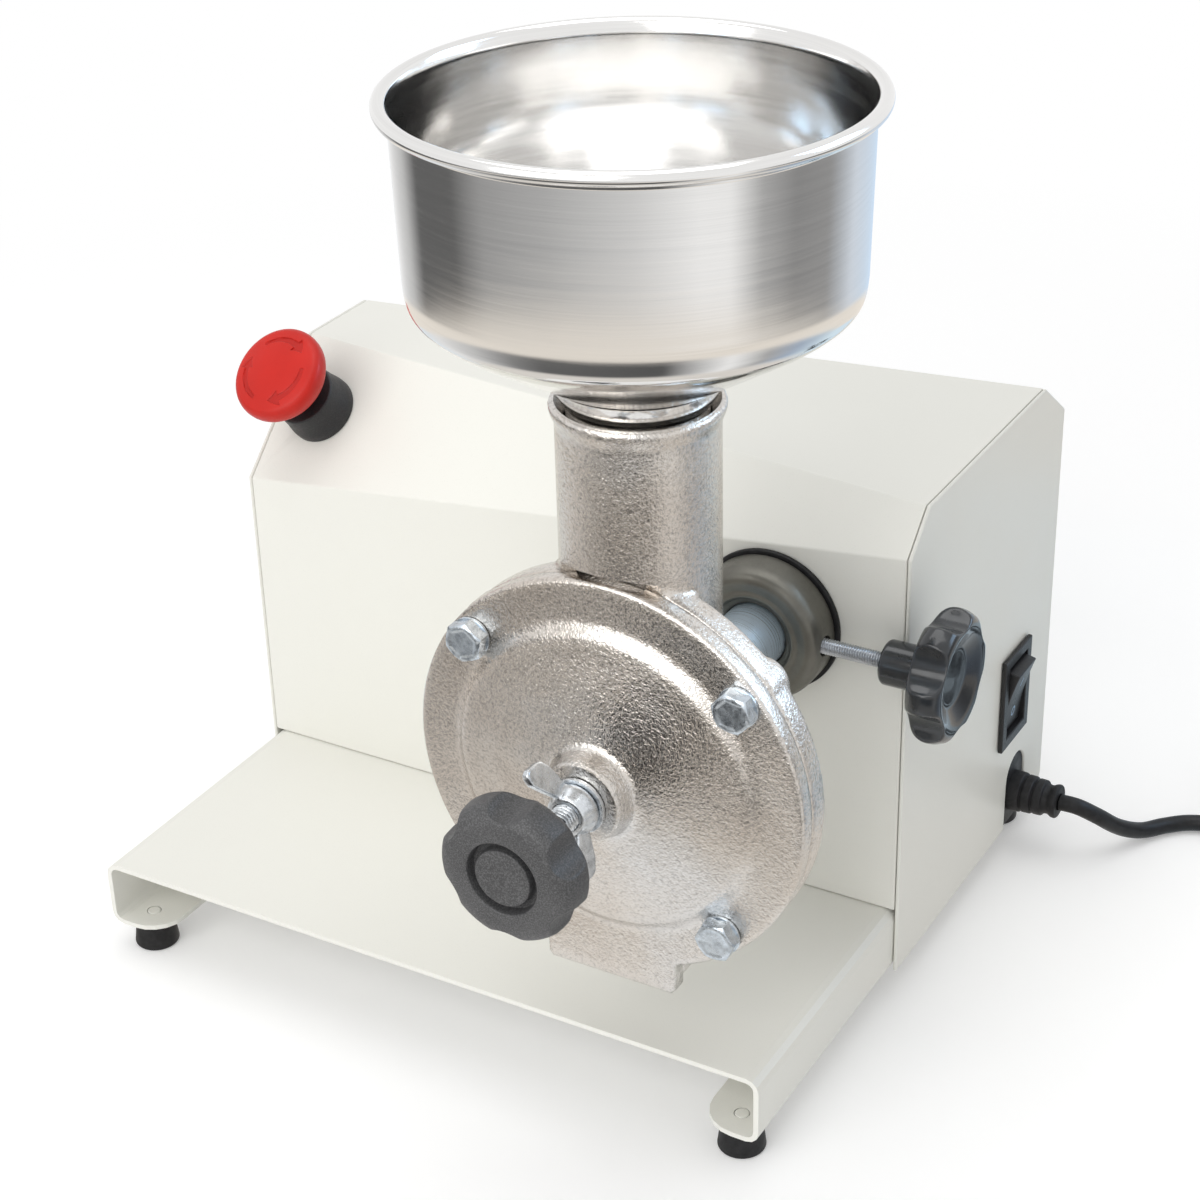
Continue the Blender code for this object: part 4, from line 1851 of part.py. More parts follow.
def make_plug(start):
    """A moulded plug with three round pins, lying on the floor."""
    profile = [
        (0, 0),
        (CORD_RADIUS + RELIEF_GROOVE, 0),
        (PLUG_NECK_RADIUS, PLUG_NECK / 2),
        (PLUG_NECK_RADIUS, PLUG_NECK),
        (PLUG_RADIUS, PLUG_NECK + PLUG_NECK_RADIUS),
        (PLUG_RADIUS, PLUG_LENGTH - RELIEF_GROOVE),
        (PLUG_RADIUS - RELIEF_GROOVE, PLUG_LENGTH),
        (0, PLUG_LENGTH),
    ]
    plug = turned("mains_plug", profile, turned_frame(start, ALONG_X), "black_plastic", HIDDEN_SIDES)
    overlap = PIN_RADIUS
    for step, name in enumerate(("pin_left", "pin_middle", "pin_right")):
        offset = ALONG_Y * ((step - 1) * PIN_SPACING / 2)
        foot = start + ALONG_X * (PLUG_LENGTH - overlap) + offset
        length = PIN_LENGTH + overlap
        add(plug, rod(name, PIN_RADIUS, length, turned_frame(foot, ALONG_X), "brass", HOLE_SIDES))


def clear_scene():
    for piece in list(bpy.data.objects):
        bpy.data.objects.remove(piece, do_unlink=True)


def main():
    clear_scene()
    make_tray()
    make_feet()
    make_wrap()
    make_side_panels()
    make_rear_panel()
    make_rear_screws()
    make_cover()
    make_body()
    make_bolts()
    make_burrs()
    make_auger()
    make_adjuster()
    make_collar()
    make_clamp()
    make_hopper()
    make_bearing_housing()
    make_spindle()
    make_belt_drive()
    make_motor()
    make_electrics()
    make_stop_button()
    make_switch()
    make_strain_relief()
    make_cord()


main()
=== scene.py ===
# Looks of the electric coffee grinder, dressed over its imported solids.

import json
import math

import bmesh
import bpy
from mathutils import Matrix, Vector, noise


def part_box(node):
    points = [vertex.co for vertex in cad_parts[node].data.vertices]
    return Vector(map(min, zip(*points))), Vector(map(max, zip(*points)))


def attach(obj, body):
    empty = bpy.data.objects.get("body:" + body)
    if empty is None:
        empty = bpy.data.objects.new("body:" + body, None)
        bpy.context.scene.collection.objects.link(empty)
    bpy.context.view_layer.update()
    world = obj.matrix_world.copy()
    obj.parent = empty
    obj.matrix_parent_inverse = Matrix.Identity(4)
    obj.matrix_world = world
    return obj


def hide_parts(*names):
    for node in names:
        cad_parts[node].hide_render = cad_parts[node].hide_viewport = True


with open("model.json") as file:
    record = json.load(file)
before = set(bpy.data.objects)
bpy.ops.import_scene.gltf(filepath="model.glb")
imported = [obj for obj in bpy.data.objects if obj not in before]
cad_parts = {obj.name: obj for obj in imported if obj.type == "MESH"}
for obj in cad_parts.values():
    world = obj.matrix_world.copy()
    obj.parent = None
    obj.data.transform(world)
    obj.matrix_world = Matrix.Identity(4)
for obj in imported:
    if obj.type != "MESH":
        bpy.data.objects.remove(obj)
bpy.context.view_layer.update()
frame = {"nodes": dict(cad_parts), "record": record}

MM = 0.001
TAU = 2 * math.pi
X_LEFT = -157.85
Y_FRONT = -97.25
# Places in mm from the tray's left front corner.
HEAD_X, HEAD_Z = 237, 155
THROAT_Y = 18
CLAMP_Y = 105
CORD_Y, CORD_Z = 236, 26.5
COIL_X, COIL_Y = 408, 331.5
PANEL_X = 291.8
CORD_RADIUS = 3.5
BOLT_TURNS = (40, 140, 228, 312)
X = Vector((1, 0, 0))
Y = Vector((0, 1, 0))
Z = Vector((0, 0, 1))


def at(x, y, z):
    """A place in mm from the tray's left front corner, in world metres."""
    return Vector(((x + X_LEFT) * MM, (y + Y_FRONT) * MM, z * MM))


def place(origin, across, up, out):
    """A frame whose local X, Y and Z are the three directions."""
    rows = Matrix((across, up, out)).transposed().to_4x4()
    return Matrix.Translation(origin) @ rows


def facing_front(x, y, z):
    return place(at(x, y, z), X, Z, -Y)


def facing_right(x, y, z):
    return place(at(x, y, z), Y, Z, X)


def facing_up(x, y, z):
    return Matrix.Translation(at(x, y, z))


# Camera


def make_camera():
    yaw, pitch, roll = math.radians(30.51), math.radians(28.58), math.radians(-1.63)
    sy, cy, sp, cp = math.sin(yaw), math.cos(yaw), math.sin(pitch), math.cos(pitch)
    ahead = Vector((-sy * cp, cy * cp, -sp))
    right = Vector((cy, sy, 0))
    up = right.cross(ahead)
    rolled_right = math.cos(roll) * right + math.sin(roll) * up
    rolled_up = math.cos(roll) * up - math.sin(roll) * right
    data = bpy.data.cameras.new("photo_camera")
    data.lens = 76.09
    data.sensor_width = 36
    data.clip_end = 50
    camera = bpy.data.objects.new("photo_camera", data)
    bpy.context.scene.collection.objects.link(camera)
    camera.matrix_world = place(Vector((0.44035, -0.71925, 0.6103)), rolled_right, rolled_up, -ahead)
    bpy.context.scene.camera = camera


# Materials


def maths(tree, kind, operation, *values):
    """A Math or VectorMath node fed with numbers or with other nodes' outputs."""
    node = tree.nodes.new("ShaderNode" + kind)
    node.operation = operation
    for socket, value in zip(node.inputs, values):
        if hasattr(value, "is_output"):
            tree.links.new(value, socket)
        else:
            socket.default_value = value
    return node.outputs


def seen_directly(tree):
    """1 for rays that show a thing itself or its mirror image, otherwise 0."""
    path = tree.nodes.new("ShaderNodeLightPath").outputs
    seen = maths(tree, "Math", "MAXIMUM", path["Is Camera Ray"], path["Is Glossy Ray"])[0]
    return maths(tree, "Math", "MAXIMUM", seen, path["Is Transmission Ray"])[0]


class Finish:
    """A node material with a few short ways to add detail to it."""

    def __init__(self, name, colour, rough, metal=0.0, **sockets):
        self.material = bpy.data.materials.new(name)
        self.material.use_nodes = True
        self.tree = self.material.node_tree
        self.surface = self.tree.nodes["Principled BSDF"]
        self.surface.inputs["Base Color"].default_value = (*colour, 1)
        self.surface.inputs["Roughness"].default_value = rough
        self.surface.inputs["Metallic"].default_value = metal
        for key, value in sockets.items():
            self.surface.inputs[key.replace("_", " ")].default_value = value
        self.colour = colour
        self.normal = None
        self.where = self.node("ShaderNodeTexCoord").outputs["Object"]

    def node(self, kind):
        return self.tree.nodes.new(kind)

    def link(self, a, b):
        self.tree.links.new(a, b)

    def stretched(self, scale):
        """Object coordinates scaled by three values."""
        mapping = self.node("ShaderNodeMapping")
        mapping.vector_type = "POINT"
        mapping.inputs["Scale"].default_value = scale
        self.link(self.where, mapping.inputs["Vector"])
        return mapping.outputs["Vector"]

    def grain(self, scale, detail=3.0, rough=0.55, where=None, distortion=0.0):
        texture = self.node("ShaderNodeTexNoise")
        texture.inputs["Scale"].default_value = scale
        texture.inputs["Detail"].default_value = detail
        texture.inputs["Roughness"].default_value = rough
        texture.inputs["Distortion"].default_value = distortion
        self.link(where or self.where, texture.inputs["Vector"])
        return texture.outputs["Fac"]

    def ramp(self, value, *stops):
        ramp = self.node("ShaderNodeValToRGB")
        while len(ramp.color_ramp.elements) < len(stops):
            ramp.color_ramp.elements.new(0.5)
        for element, (position, colour) in zip(ramp.color_ramp.elements, stops):
            element.position = position
            if not hasattr(colour, "__len__"):
                colour = (colour,) * 3
            element.color = (*colour, 1)
        self.link(value, ramp.inputs["Fac"])
        return ramp.outputs["Color"]

    def blend(self, factor, a, b, kind="MIX"):
        mix = self.node("ShaderNodeMix")
        mix.data_type = "RGBA"
        mix.blend_type = kind
        for socket, value in ((mix.inputs[0], factor), (mix.inputs[6], a), (mix.inputs[7], b)):
            if hasattr(value, "is_output"):
                self.link(value, socket)
            elif hasattr(value, "__len__"):
                socket.default_value = (*value, 1)
            else:
                socket.default_value = value
        return mix.outputs[2]

    def shades(self, value, low, high, start=0.3, end=0.7):
        """Base colour that drifts between two multiples of the finish's own colour."""
        dark = [c * low for c in self.colour]
        light = [min(1, c * high) for c in self.colour]
        return self.ramp(value, (start, dark), (end, light))

    def paint(self, colour):
        self.link(colour, self.surface.inputs["Base Color"])
        return self

    def gloss(self, value, low, high, start=0.3, end=0.7):
        self.link(self.ramp(value, (start, low), (end, high)), self.surface.inputs["Roughness"])
        return self

    def bump(self, value, strength, depth):
        bump = self.node("ShaderNodeBump")
        bump.inputs["Strength"].default_value = strength
        bump.inputs["Distance"].default_value = depth
        self.link(value, bump.inputs["Height"])
        if self.normal:
            self.link(self.normal, bump.inputs["Normal"])
        self.normal = bump.outputs["Normal"]
        self.link(self.normal, self.surface.inputs["Normal"])
        return self


def powder_coat():
    f = Finish("powder_coat", (0.85, 0.845, 0.79), 0.38, Specular_IOR_Level=0.3)
    drift = f.shades(f.grain(5, 2), 0.985, 1.012)
    specks = f.ramp(f.grain(2600, 1), (0.24, 0.93), (0.36, 1.0))
    f.paint(f.blend(1.0, drift, specks, "MULTIPLY"))
    f.gloss(f.grain(40, 3), 0.31, 0.41)
    f.bump(f.grain(620, 2), 0.10, 0.00012)
    return f.bump(f.grain(60, 2), 0.05, 0.0006)


def tinned_casting():
    f = Finish("tinned_casting", (0.68, 0.64, 0.595), 0.25, 1.0)
    tone = f.ramp(f.grain(16, 3), (0.3, (0.61, 0.555, 0.50)), (0.5, (0.68, 0.64, 0.595)),
                  (0.72, (0.71, 0.705, 0.70)))
    pits = f.ramp(f.grain(820, 2, 0.6), (0.30, 0.76), (0.50, 1.0))
    f.paint(f.blend(1.0, tone, pits, "MULTIPLY"))
    f.gloss(f.grain(520, 2), 0.15, 0.27)
    f.bump(f.grain(900, 2, 0.62, distortion=0.5), 0.55, 0.0005)
    return f.bump(f.grain(150, 2), 0.16, 0.0016)


def spun_steel():
    f = Finish("spun_steel", (0.82, 0.812, 0.80), 0.12, 1.0, Anisotropic=0.3)
    tangent = f.node("ShaderNodeTangent")
    tangent.direction_type = "RADIAL"
    tangent.axis = "Z"
    f.link(tangent.outputs["Tangent"], f.surface.inputs["Tangent"])
    rings = f.grain(1, 4, 0.7, f.stretched((5, 5, 4200)))
    broad = f.grain(1, 3, 0.6, f.stretched((14, 14, 500)))
    fine = f.ramp(rings, (0.3, 0.95), (0.6, 1.0))
    f.paint(f.blend(1.0, fine, f.shades(broad, 0.965, 1.02), "MULTIPLY"))
    f.gloss(broad, 0.08, 0.15)
    f.bump(rings, 0.05, 0.00004)
    return f.bump(f.grain(1, 2, 0.5, f.stretched((34, 34, 20))), 0.10, 0.0006)


def zinc(name="zinc_plate", colour=(0.68, 0.71, 0.74)):
    f = Finish(name, colour, 0.26, 1.0)
    stain = f.grain(240, 4, 0.65)
    dark, light = [c * 0.62 for c in colour], [min(1, c * 1.18) for c in colour]
    f.paint(f.ramp(stain, (0.3, dark), (0.5, colour), (0.72, light)))
    f.gloss(f.grain(420, 3), 0.17, 0.38)
    return f.bump(f.grain(900, 3), 0.22, 0.00025)


def neck_steel_with_painted_reflection():
    # Painted reflection: the steel is tinted blue and only partly metallic, so the neck shows a bright blue sheen
    # even in shade. The fine lines are its real grinding marks.
    f = Finish("ground_neck_steel_painted_blue_reflection", (0.64, 0.76, 0.86), 0.30, 0.6)
    lines = f.grain(1, 3, 0.6, f.stretched((20, 2500, 20)))
    f.paint(f.shades(lines, 0.97, 1.02))
    f.gloss(lines, 0.26, 0.31)
    return f.bump(lines, 0.03, 0.00003)


def dark_ring():
    f = Finish("dark_oxide_steel", (0.15, 0.145, 0.125), 0.40, 0.7)
    cloud = f.grain(90, 4, 0.6)
    f.paint(f.ramp(cloud, (0.25, (0.125, 0.12, 0.103)), (0.5, (0.155, 0.15, 0.13)),
                   (0.8, (0.185, 0.178, 0.155))))
    f.gloss(f.grain(700, 3), 0.34, 0.46)
    return f.bump(f.grain(1400, 2), 0.16, 0.0001)


def plastic(name, colour, rough, speck, bump=0.18, scale=2100):
    f = Finish(name, colour, rough, Specular_IOR_Level=0.4)
    drift = f.shades(f.grain(60, 3), 0.86, 1.16)
    specks = f.ramp(f.grain(scale, 1.5, 0.6), (0.42, (0.0, 0.0, 0.0)), (0.72, (speck, speck, speck * 1.02)))
    f.paint(f.blend(1.0, drift, specks, "ADD"))
    f.gloss(f.grain(scale * 0.5, 2), rough - 0.07, rough + 0.08)
    return f.bump(f.grain(scale, 2, 0.6), bump, 0.00022)


def gloss_black():
    f = Finish("gloss_black_plastic", (0.017, 0.02, 0.024), 0.16, Coat_Weight=0.25)
    f.paint(f.shades(f.grain(90, 3), 0.75, 1.5))
    f.gloss(f.grain(170, 4), 0.11, 0.24)
    return f.bump(f.grain(260, 3), 0.10, 0.0004)


def red_moulding(name="red_moulding", colour=(0.56, 0.016, 0.009)):
    f = Finish(name, colour, 0.40, Specular_IOR_Level=0.3)
    f.paint(f.shades(f.grain(45, 3), 0.92, 1.08))
    f.gloss(f.grain(900, 2), 0.34, 0.48)
    return f.bump(f.grain(1900, 2), 0.10, 0.0001)


def rubber(name="soft_rubber", colour=(0.011, 0.011, 0.012), rough=0.55):
    f = Finish(name, colour, rough, Specular_IOR_Level=0.3)
    f.paint(f.shades(f.grain(300, 4), 0.7, 1.7))
    f.gloss(f.grain(130, 3), rough - 0.1, rough + 0.12)
    return f.bump(f.grain(1500, 3), 0.25, 0.00015)


def turned_metal(name, colour, rough=0.3, metal=1.0):
    f = Finish(name, colour, rough, metal)
    lines = f.grain(1, 3, 0.6, f.stretched((30, 1800, 30)))
    dull = f.ramp(lines, (0.3, 0.9), (0.6, 1.0))
    f.paint(f.blend(1.0, f.shades(f.grain(80, 3), 0.86, 1.08), dull, "MULTIPLY"))
    f.gloss(f.grain(300, 3), rough - 0.08, rough + 0.14)
    return f.bump(lines, 0.15, 0.0001)


def laminated():
    f = Finish("motor_laminations", (0.34, 0.32, 0.30), 0.5, 0.85)
    layers = f.grain(1, 1, 0.4, f.stretched((1, 1600, 1)))
    gaps = f.ramp(layers, (0.4, 0.6), (0.55, 1.0))
    f.paint(f.blend(1.0, f.shades(f.grain(90, 3), 0.7, 1.1), gaps, "MULTIPLY"))
    return f.bump(layers, 0.4, 0.0003)


def marking():
    f = Finish("switch_marking", (0.30, 0.44, 0.60), 0.45)
    f.paint(f.shades(f.grain(700, 3), 0.75, 1.15))
    return f.bump(f.grain(1500, 2), 0.1, 0.0001)


FINISHES = {
    "painted_steel": powder_coat(),
    "cast_metal": tinned_casting(),
    "polished_steel": spun_steel(),
    "zinc_steel": zinc(),
    "dark_steel": dark_ring(),
    "burr_steel": turned_metal("hardened_burr_steel", (0.40, 0.40, 0.40), 0.42),
    "black_plastic": plastic("matt_black_plastic", (0.013, 0.013, 0.015), 0.46, 0.018),
    "gloss_plastic": gloss_black(),
    "red_plastic": red_moulding(),
    "rubber": rubber(),
    "brass": turned_metal("turned_brass", (0.72, 0.52, 0.20), 0.28),
    "motor_shell": turned_metal("motor_paint", (0.16, 0.17, 0.19), 0.45, 0.2),
    "lamination": laminated(),
    "aluminium": turned_metal("cast_aluminium", (0.74, 0.74, 0.75), 0.42),
    "belt_rubber": rubber("belt_rubber_face", (0.022, 0.022, 0.022), 0.7),
    "terminal_plastic": plastic("pale_terminal_plastic", (0.70, 0.68, 0.60), 0.5, 0.02),
    "capacitor_case": plastic("capacitor_sleeve", (0.66, 0.66, 0.64), 0.4, 0.02),
    "cord_rubber": rubber("cord_sheath", (0.009, 0.009, 0.010), 0.42),
}
KNOB_FINISH = plastic("charcoal_knob_plastic", (0.062, 0.062, 0.064), 0.50, 0.075, 0.35, 1900)
SWITCH_FINISH = plastic("switch_plastic", (0.012, 0.012, 0.013), 0.42, 0.012)
# The neck's finish, with its painted blue reflection.
NECK_PAINTED_REFLECTION_FINISH = neck_steel_with_painted_reflection()
BOLT_FINISH = zinc("bolt_zinc", (0.58, 0.64, 0.70))
# A darker red for the sunken arrows: painted shade in their engraving. The moulding itself is one red.
ARROW_SHADE_FINISH = red_moulding("red_moulding_arrows_painted_shade", (0.47, 0.012, 0.007))
MARK_FINISH = marking()


# Mesh helpers


def mark_edges(mesh, angle=38):
    """Smooth faces, with a hard edge wherever the surface really turns."""
    bm = bmesh.new()
    bm.from_mesh(mesh)
    limit = math.radians(angle)
    for face in bm.faces:
        face.smooth = True
    for edge in bm.edges:
        edge.smooth = len(edge.link_faces) == 2 and edge.calc_face_angle(0) < limit
    bm.to_mesh(mesh)
    bm.free()


def loops(rows, across, closed):
    """Faces between rows of points, where each row is a loop of the same count."""
    faces = []
    for i in range(rows if closed else rows - 1):
        j = (i + 1) % rows
        for k in range(across):
            m = (k + 1) % across
            faces.append([across * i + k, across * i + m, across * j + m, across * j + k])
    return faces


def piece(name, points, faces, finish, angle=38):
    mesh = bpy.data.meshes.new(name)
    mesh.from_pydata([tuple(p) for p in points], [], faces)
    bm = bmesh.new()
    bm.from_mesh(mesh)
    bmesh.ops.remove_doubles(bm, verts=bm.verts, dist=1e-7)
    bmesh.ops.recalc_face_normals(bm, faces=bm.faces)
    bm.to_mesh(mesh)
    bm.free()
    mark_edges(mesh, angle)
    obj = bpy.data.objects.new(name, mesh)
    bpy.context.scene.collection.objects.link(obj)
    mesh.materials.append(finish.material)
    return obj


def settle(obj, angle=38):
    """Applies the object's modifiers to its own mesh."""
    graph = bpy.context.evaluated_depsgraph_get()
    mesh = bpy.data.meshes.new_from_object(obj.evaluated_get(graph))
    obj.modifiers.clear()
    old = obj.data
    obj.data = mesh
    bpy.data.meshes.remove(old)
    mark_edges(mesh, angle)
    return obj


def carve(obj, *cutters, kind="DIFFERENCE", angle=38):
    for cutter in cutters:
        hollow = obj.modifiers.new("carve", "BOOLEAN")
        hollow.operation = kind
        hollow.solver = "EXACT"
        hollow.object = cutter
    settle(obj, angle)
    for cutter in cutters:
        bpy.data.objects.remove(cutter, do_unlink=True)
    return obj


def fused(obj, others, voxel, rounds, angle=80):
    """One skin over several closed shapes, with the corners between them eased."""
    points, faces = [], []
    for part in [obj, *others]:
        base = len(points)
        points += [v.co.copy() for v in part.data.vertices]
        faces += [[base + i for i in p.vertices] for p in part.data.polygons]
    finish = obj.data.materials[0]
    mesh = bpy.data.meshes.new(obj.name)
    mesh.from_pydata([tuple(p) for p in points], [], faces)
    mesh.materials.append(finish)
    old = obj.data
    obj.data = mesh
    bpy.data.meshes.remove(old)
    for part in others:
        bpy.data.objects.remove(part, do_unlink=True)
    skin = obj.modifiers.new("skin", "REMESH")
    skin.mode = "VOXEL"
    skin.voxel_size = voxel
    skin.use_smooth_shade = True
    ease = obj.modifiers.new("ease", "SMOOTH")
    ease.factor = 0.5
    ease.iterations = rounds
    return settle(obj, angle)


def eased(points, closed=False, steps=5):
    """A profile with rounded corners. A point is (radius, height) or (radius, height, rounding)."""
    out = []
    count = len(points)
    for i, point in enumerate(points):
        here = Vector(point[:2])
        rounding = point[2] if len(point) > 2 else 0
        if not rounding or (not closed and i in (0, count - 1)):
            out.append(tuple(here))
            continue
        before = Vector(points[i - 1][:2]) - here
        after = Vector(points[(i + 1) % count][:2]) - here
        reach = min(rounding, before.length * 0.49, after.length * 0.49)
        start, end = here + before.normalized() * reach, here + after.normalized() * reach
        for step in range(steps + 1):
            t = step / steps
            out.append(tuple((1 - t) ** 2 * start + 2 * t * (1 - t) * here + t * t * end))
    return out


def held(profile, ring):
    """Extra points near the ends of long straight runs, so that they shade as flat as they are."""
    out = []
    count = len(profile)
    for i, point in enumerate(profile):
        out.append(point)
        if i == count - 1 and not ring:
            break
        here, there = Vector(point), Vector(profile[(i + 1) % count])
        run = (there - here).length
        if run < 3:
            continue
        parts = math.ceil(run / 12)
        shares = [0.5 / run] + [k / parts for k in range(1, parts)] + [1 - 0.5 / run]
        out += [tuple(here.lerp(there, t)) for t in shares]
    return out


def spun(name, profile, frame_at, finish, sides=96, ring=False, shape=None, angle=38):
    """A turned shape from a profile in mm, closed on its axis or, as a ring, on itself."""
    profile = held(profile, ring)
    points, rows = [], []
    for radius, height in profile:
        if radius < 1e-6:
            rows.append([len(points)] * sides)
            points.append(frame_at @ Vector((0, 0, height * MM)))
            continue
        rows.append([len(points) + i for i in range(sides)])
        for i in range(sides):
            turn = TAU * i / sides
            r, h = shape(radius, height, turn) if shape else (radius, height)
            points.append(frame_at @ (Vector((r * math.cos(turn), r * math.sin(turn), h)) * MM))
    faces = []
    last = len(rows) if ring else len(rows) - 1
    for k in range(last):
        low, high = rows[k], rows[(k + 1) % len(rows)]
        for i in range(sides):
            j = (i + 1) % sides
            corners = []
            for index in (low[i], low[j], high[j], high[i]):
                if index not in corners:
                    corners.append(index)
            if len(corners) > 2:
                faces.append(corners)
    return piece(name, points, faces, finish, angle)


def slab(name, outline, depth, frame_at, finish, edge=0.0, segments=3):
    """An outline in mm, pushed out along the frame's Z, with its edges eased."""
    count = len(outline)
    points = [frame_at @ (Vector((u, v, h)) * MM) for h in (0, depth) for u, v in outline]
    faces = [list(range(count))[::-1], list(range(count, 2 * count))]
    faces += [[i, (i + 1) % count, count + (i + 1) % count, count + i] for i in range(count)]
    obj = piece(name, points, faces, finish)
    if edge:
        ease = obj.modifiers.new("edge", "BEVEL")
        ease.width = edge * MM
        ease.segments = segments
        ease.limit_method = "ANGLE"
        ease.angle_limit = math.radians(30)
        settle(obj)
    return obj


def arc(centre, radius, start, end, steps):
    turns = [math.radians(start + (end - start) * i / steps) for i in range(steps + 1)]
    return [(centre[0] + radius * math.cos(t), centre[1] + radius * math.sin(t)) for t in turns]


def threaded(name, radius, pitch, length, frame_at, finish, sides=28):
    """A rod with a real screw thread, chamfered at both ends."""
    depth = 0.6 * pitch
    per_turn = 8
    rows = int(length / pitch * per_turn)
    points = []
    for k in range(rows + 1):
        along = length * k / rows
        taper = min(1, along / pitch, (length - along) / pitch)
        for i in range(sides):
            turn = i / sides
            wave = (along / pitch - turn) % 1
            cut = abs(2 * wave - 1)
            cut = min(1, max(0, (cut - 0.1) / 0.72))
            r = radius - depth * cut - (1 - taper) * depth * (1 - cut)
            spot = Vector((r * math.cos(TAU * turn), r * math.sin(TAU * turn), along))
            points.append(frame_at @ (spot * MM))
    faces = loops(rows + 1, sides, False)
    faces.append(list(range(sides))[::-1])
    faces.append([rows * sides + i for i in range(sides)])
    return piece(name, points, faces, finish, 55)


def dress(obj, body, slot, *nodes):
    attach(obj, body)
    if nodes:
        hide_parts(*nodes)
    return obj


def ease_over(a, b, k):
    """The larger of two values, with a smooth change between them."""
    h = max(0, min(1, 0.5 + 0.5 * (a - b) / k))
    return b + (a - b) * h + k * h * (1 - h)


def scalloped(count, reach, hollow, start, soft, lean=0.0, front=0.0):
    """Finger hollows cut round an edge by cylinders of a radius, at a reach from the axis."""
    def shape(radius, height, turn):
        near = (turn - start + math.pi / count) % (TAU / count) - math.pi / count
        far = reach + lean * (front - height)
        across = far * math.sin(near)
        if abs(across) >= hollow - 0.01:
            return radius, height
        limit = far * math.cos(near) - math.sqrt(hollow ** 2 - across ** 2)
        return -ease_over(-radius, -limit, soft), height
    return shape


# Cord


def smooth_line(knots, pieces):
    """Points on a smooth curve through the knots."""
    out = []
    last = len(knots) - 1
    for i in range(last):
        before, here = knots[max(i - 1, 0)], knots[i]
        there, after = knots[i + 1], knots[min(i + 2, last)]
        for step in range(pieces):
            t = step / pieces
            bend = 2 * before - 5 * here + 4 * there - after
            twist = -before + 3 * here - 3 * there + after
            out.append(0.5 * (2 * here + (there - before) * t + bend * t * t + twist * t * t * t))
    return out + [knots[-1]]


def cord_points():
    """The free stretch, then the flat coil in two layers, then the run to the plug."""
    route = [
        (20.5, 0.0, 26.5), (27.7, 0.8, 26.0), (34.7, 6.0, 20.5), (41.2, 15.5, 11.5),
        (47.7, 26.5, 5.2), (54.7, 36.5, 3.8), (63.2, 43.5, 3.8), (74.2, 47.0, 4.0),
        (88.2, 48.0, 4.8), (98.2, 48.0, 5.1), (108.9, 48.0, 5.1),
    ]
    points = smooth_line([at(PANEL_X + x, CORD_Y + y, z) for x, y, z in route], 6)
    outer, pitch, tuck, inwards, climb, outwards, steps = 47.5, 7.5, 1.3, 2.5, 0.5, 2.0, 48
    inner = outer - pitch * inwards - tuck
    for step in range(round((inwards + climb + outwards) * steps) + 1):
        turns = step / steps
        if turns <= inwards:
            radius = outer - pitch * turns - tuck * max(0, (turns - inwards) / climb + 1)
            layer = 0
        elif turns <= inwards + climb:
            radius = inner
            layer = 0.5 - 0.5 * math.cos(math.pi * (turns - inwards) / climb)
        else:
            past = turns - inwards - climb
            radius = inner + pitch * past + tuck * min(1, past / climb)
            layer = 1
        turn = TAU * (turns - 0.25)
        points.append(at(COIL_X + radius * math.cos(turn), COIL_Y + radius * math.sin(turn), 5.1 + pitch * layer))
    end = points[-1]
    return points + [end + X * (42 * MM * step / 6) for step in range(1, 7)]


def make_strap():
    """A strap drawn snugly around both layers of the coil."""
    turn = math.radians(200)
    out, along = Vector((math.cos(turn), math.sin(turn), 0)), Vector((-math.sin(turn), math.cos(turn), 0))
    near, far, low, high, corner, wall, half, steps = 22.9, 46.6, 1.3, 16.5, 4.1, 1.0, 5.0, 8
    middles = [(far - corner, high - corner), (near + corner, high - corner),
               (near + corner, low + corner), (far - corner, low + corner)]
    points = []
    for quarter, (r, z) in enumerate(middles):
        for step in range(steps + 1):
            angle = (quarter + step / steps) * math.pi / 2
            for reach, side in ((corner, -half), (corner, half), (corner + wall, half), (corner + wall, -half)):
                spot = out * (r + reach * math.cos(angle)) + along * side
                points.append(at(COIL_X + spot.x, COIL_Y + spot.y, z + reach * math.sin(angle)))
    faces = loops(len(points) // 4, 4, True)
    strap = piece("coil_strap", points, faces, FINISHES["black_plastic"], 50)
    return dress(strap, "machine", "black_plastic", "coil_tie")


def make_cord():
    points = cord_points()
    curve = bpy.data.curves.new("mains_cord", "CURVE")
    curve.dimensions = "3D"
    curve.bevel_depth = CORD_RADIUS * MM
    curve.bevel_resolution = 6
    curve.use_fill_caps = True
    line = curve.splines.new("POLY")
    line.points.add(len(points) - 1)
    for spot, point in zip(line.points, points):
        spot.co = (*point, 1)
    line.use_smooth = True
    obj = bpy.data.objects.new("mains_cord", curve)
    bpy.context.scene.collection.objects.link(obj)
    curve.materials.append(FINISHES["cord_rubber"].material)
    dress(obj, "machine", "cord_rubber", "cord_lead", "cord_coil")
    make_strap()


# Hopper


def make_hopper():
    foot = 264.3
    profile = eased([
        (23.2, foot), (23.2, 282.2, 1), (24.9, 283.4, 0.8), (27.1, 288.6, 1.6), (28.4, 290.9, 0.8),
        (30.0, 291.8, 0.8), (66.0, 314.0, 5), (71.0, 318.4, 4), (71.9, 324, 3), (73.4, 377.2, 1),
    ], steps=7)
    bead = arc((75.6, 381.0), 2.45, -128, 176, 22)
    inside = eased([
        (72.6, 380.0), (72.5, 377.2, 1), (70.9, 324, 3), (70.0, 319.4, 4), (65.4, 315.2, 5),
        (29.6, 293.0, 1.2), (26.4, 290.0, 1.4), (24.2, 284.6, 0.8), (22.3, 282.8, 0.6), (22.3, foot),
    ], steps=7)
    hopper = spun("hopper_shell", profile + bead + inside, facing_up(HEAD_X, THROAT_Y, 0),
                  FINISHES["polished_steel"], 192, True)
    dress(hopper, "hopper", "polished_steel", "hopper")


# Grinding head


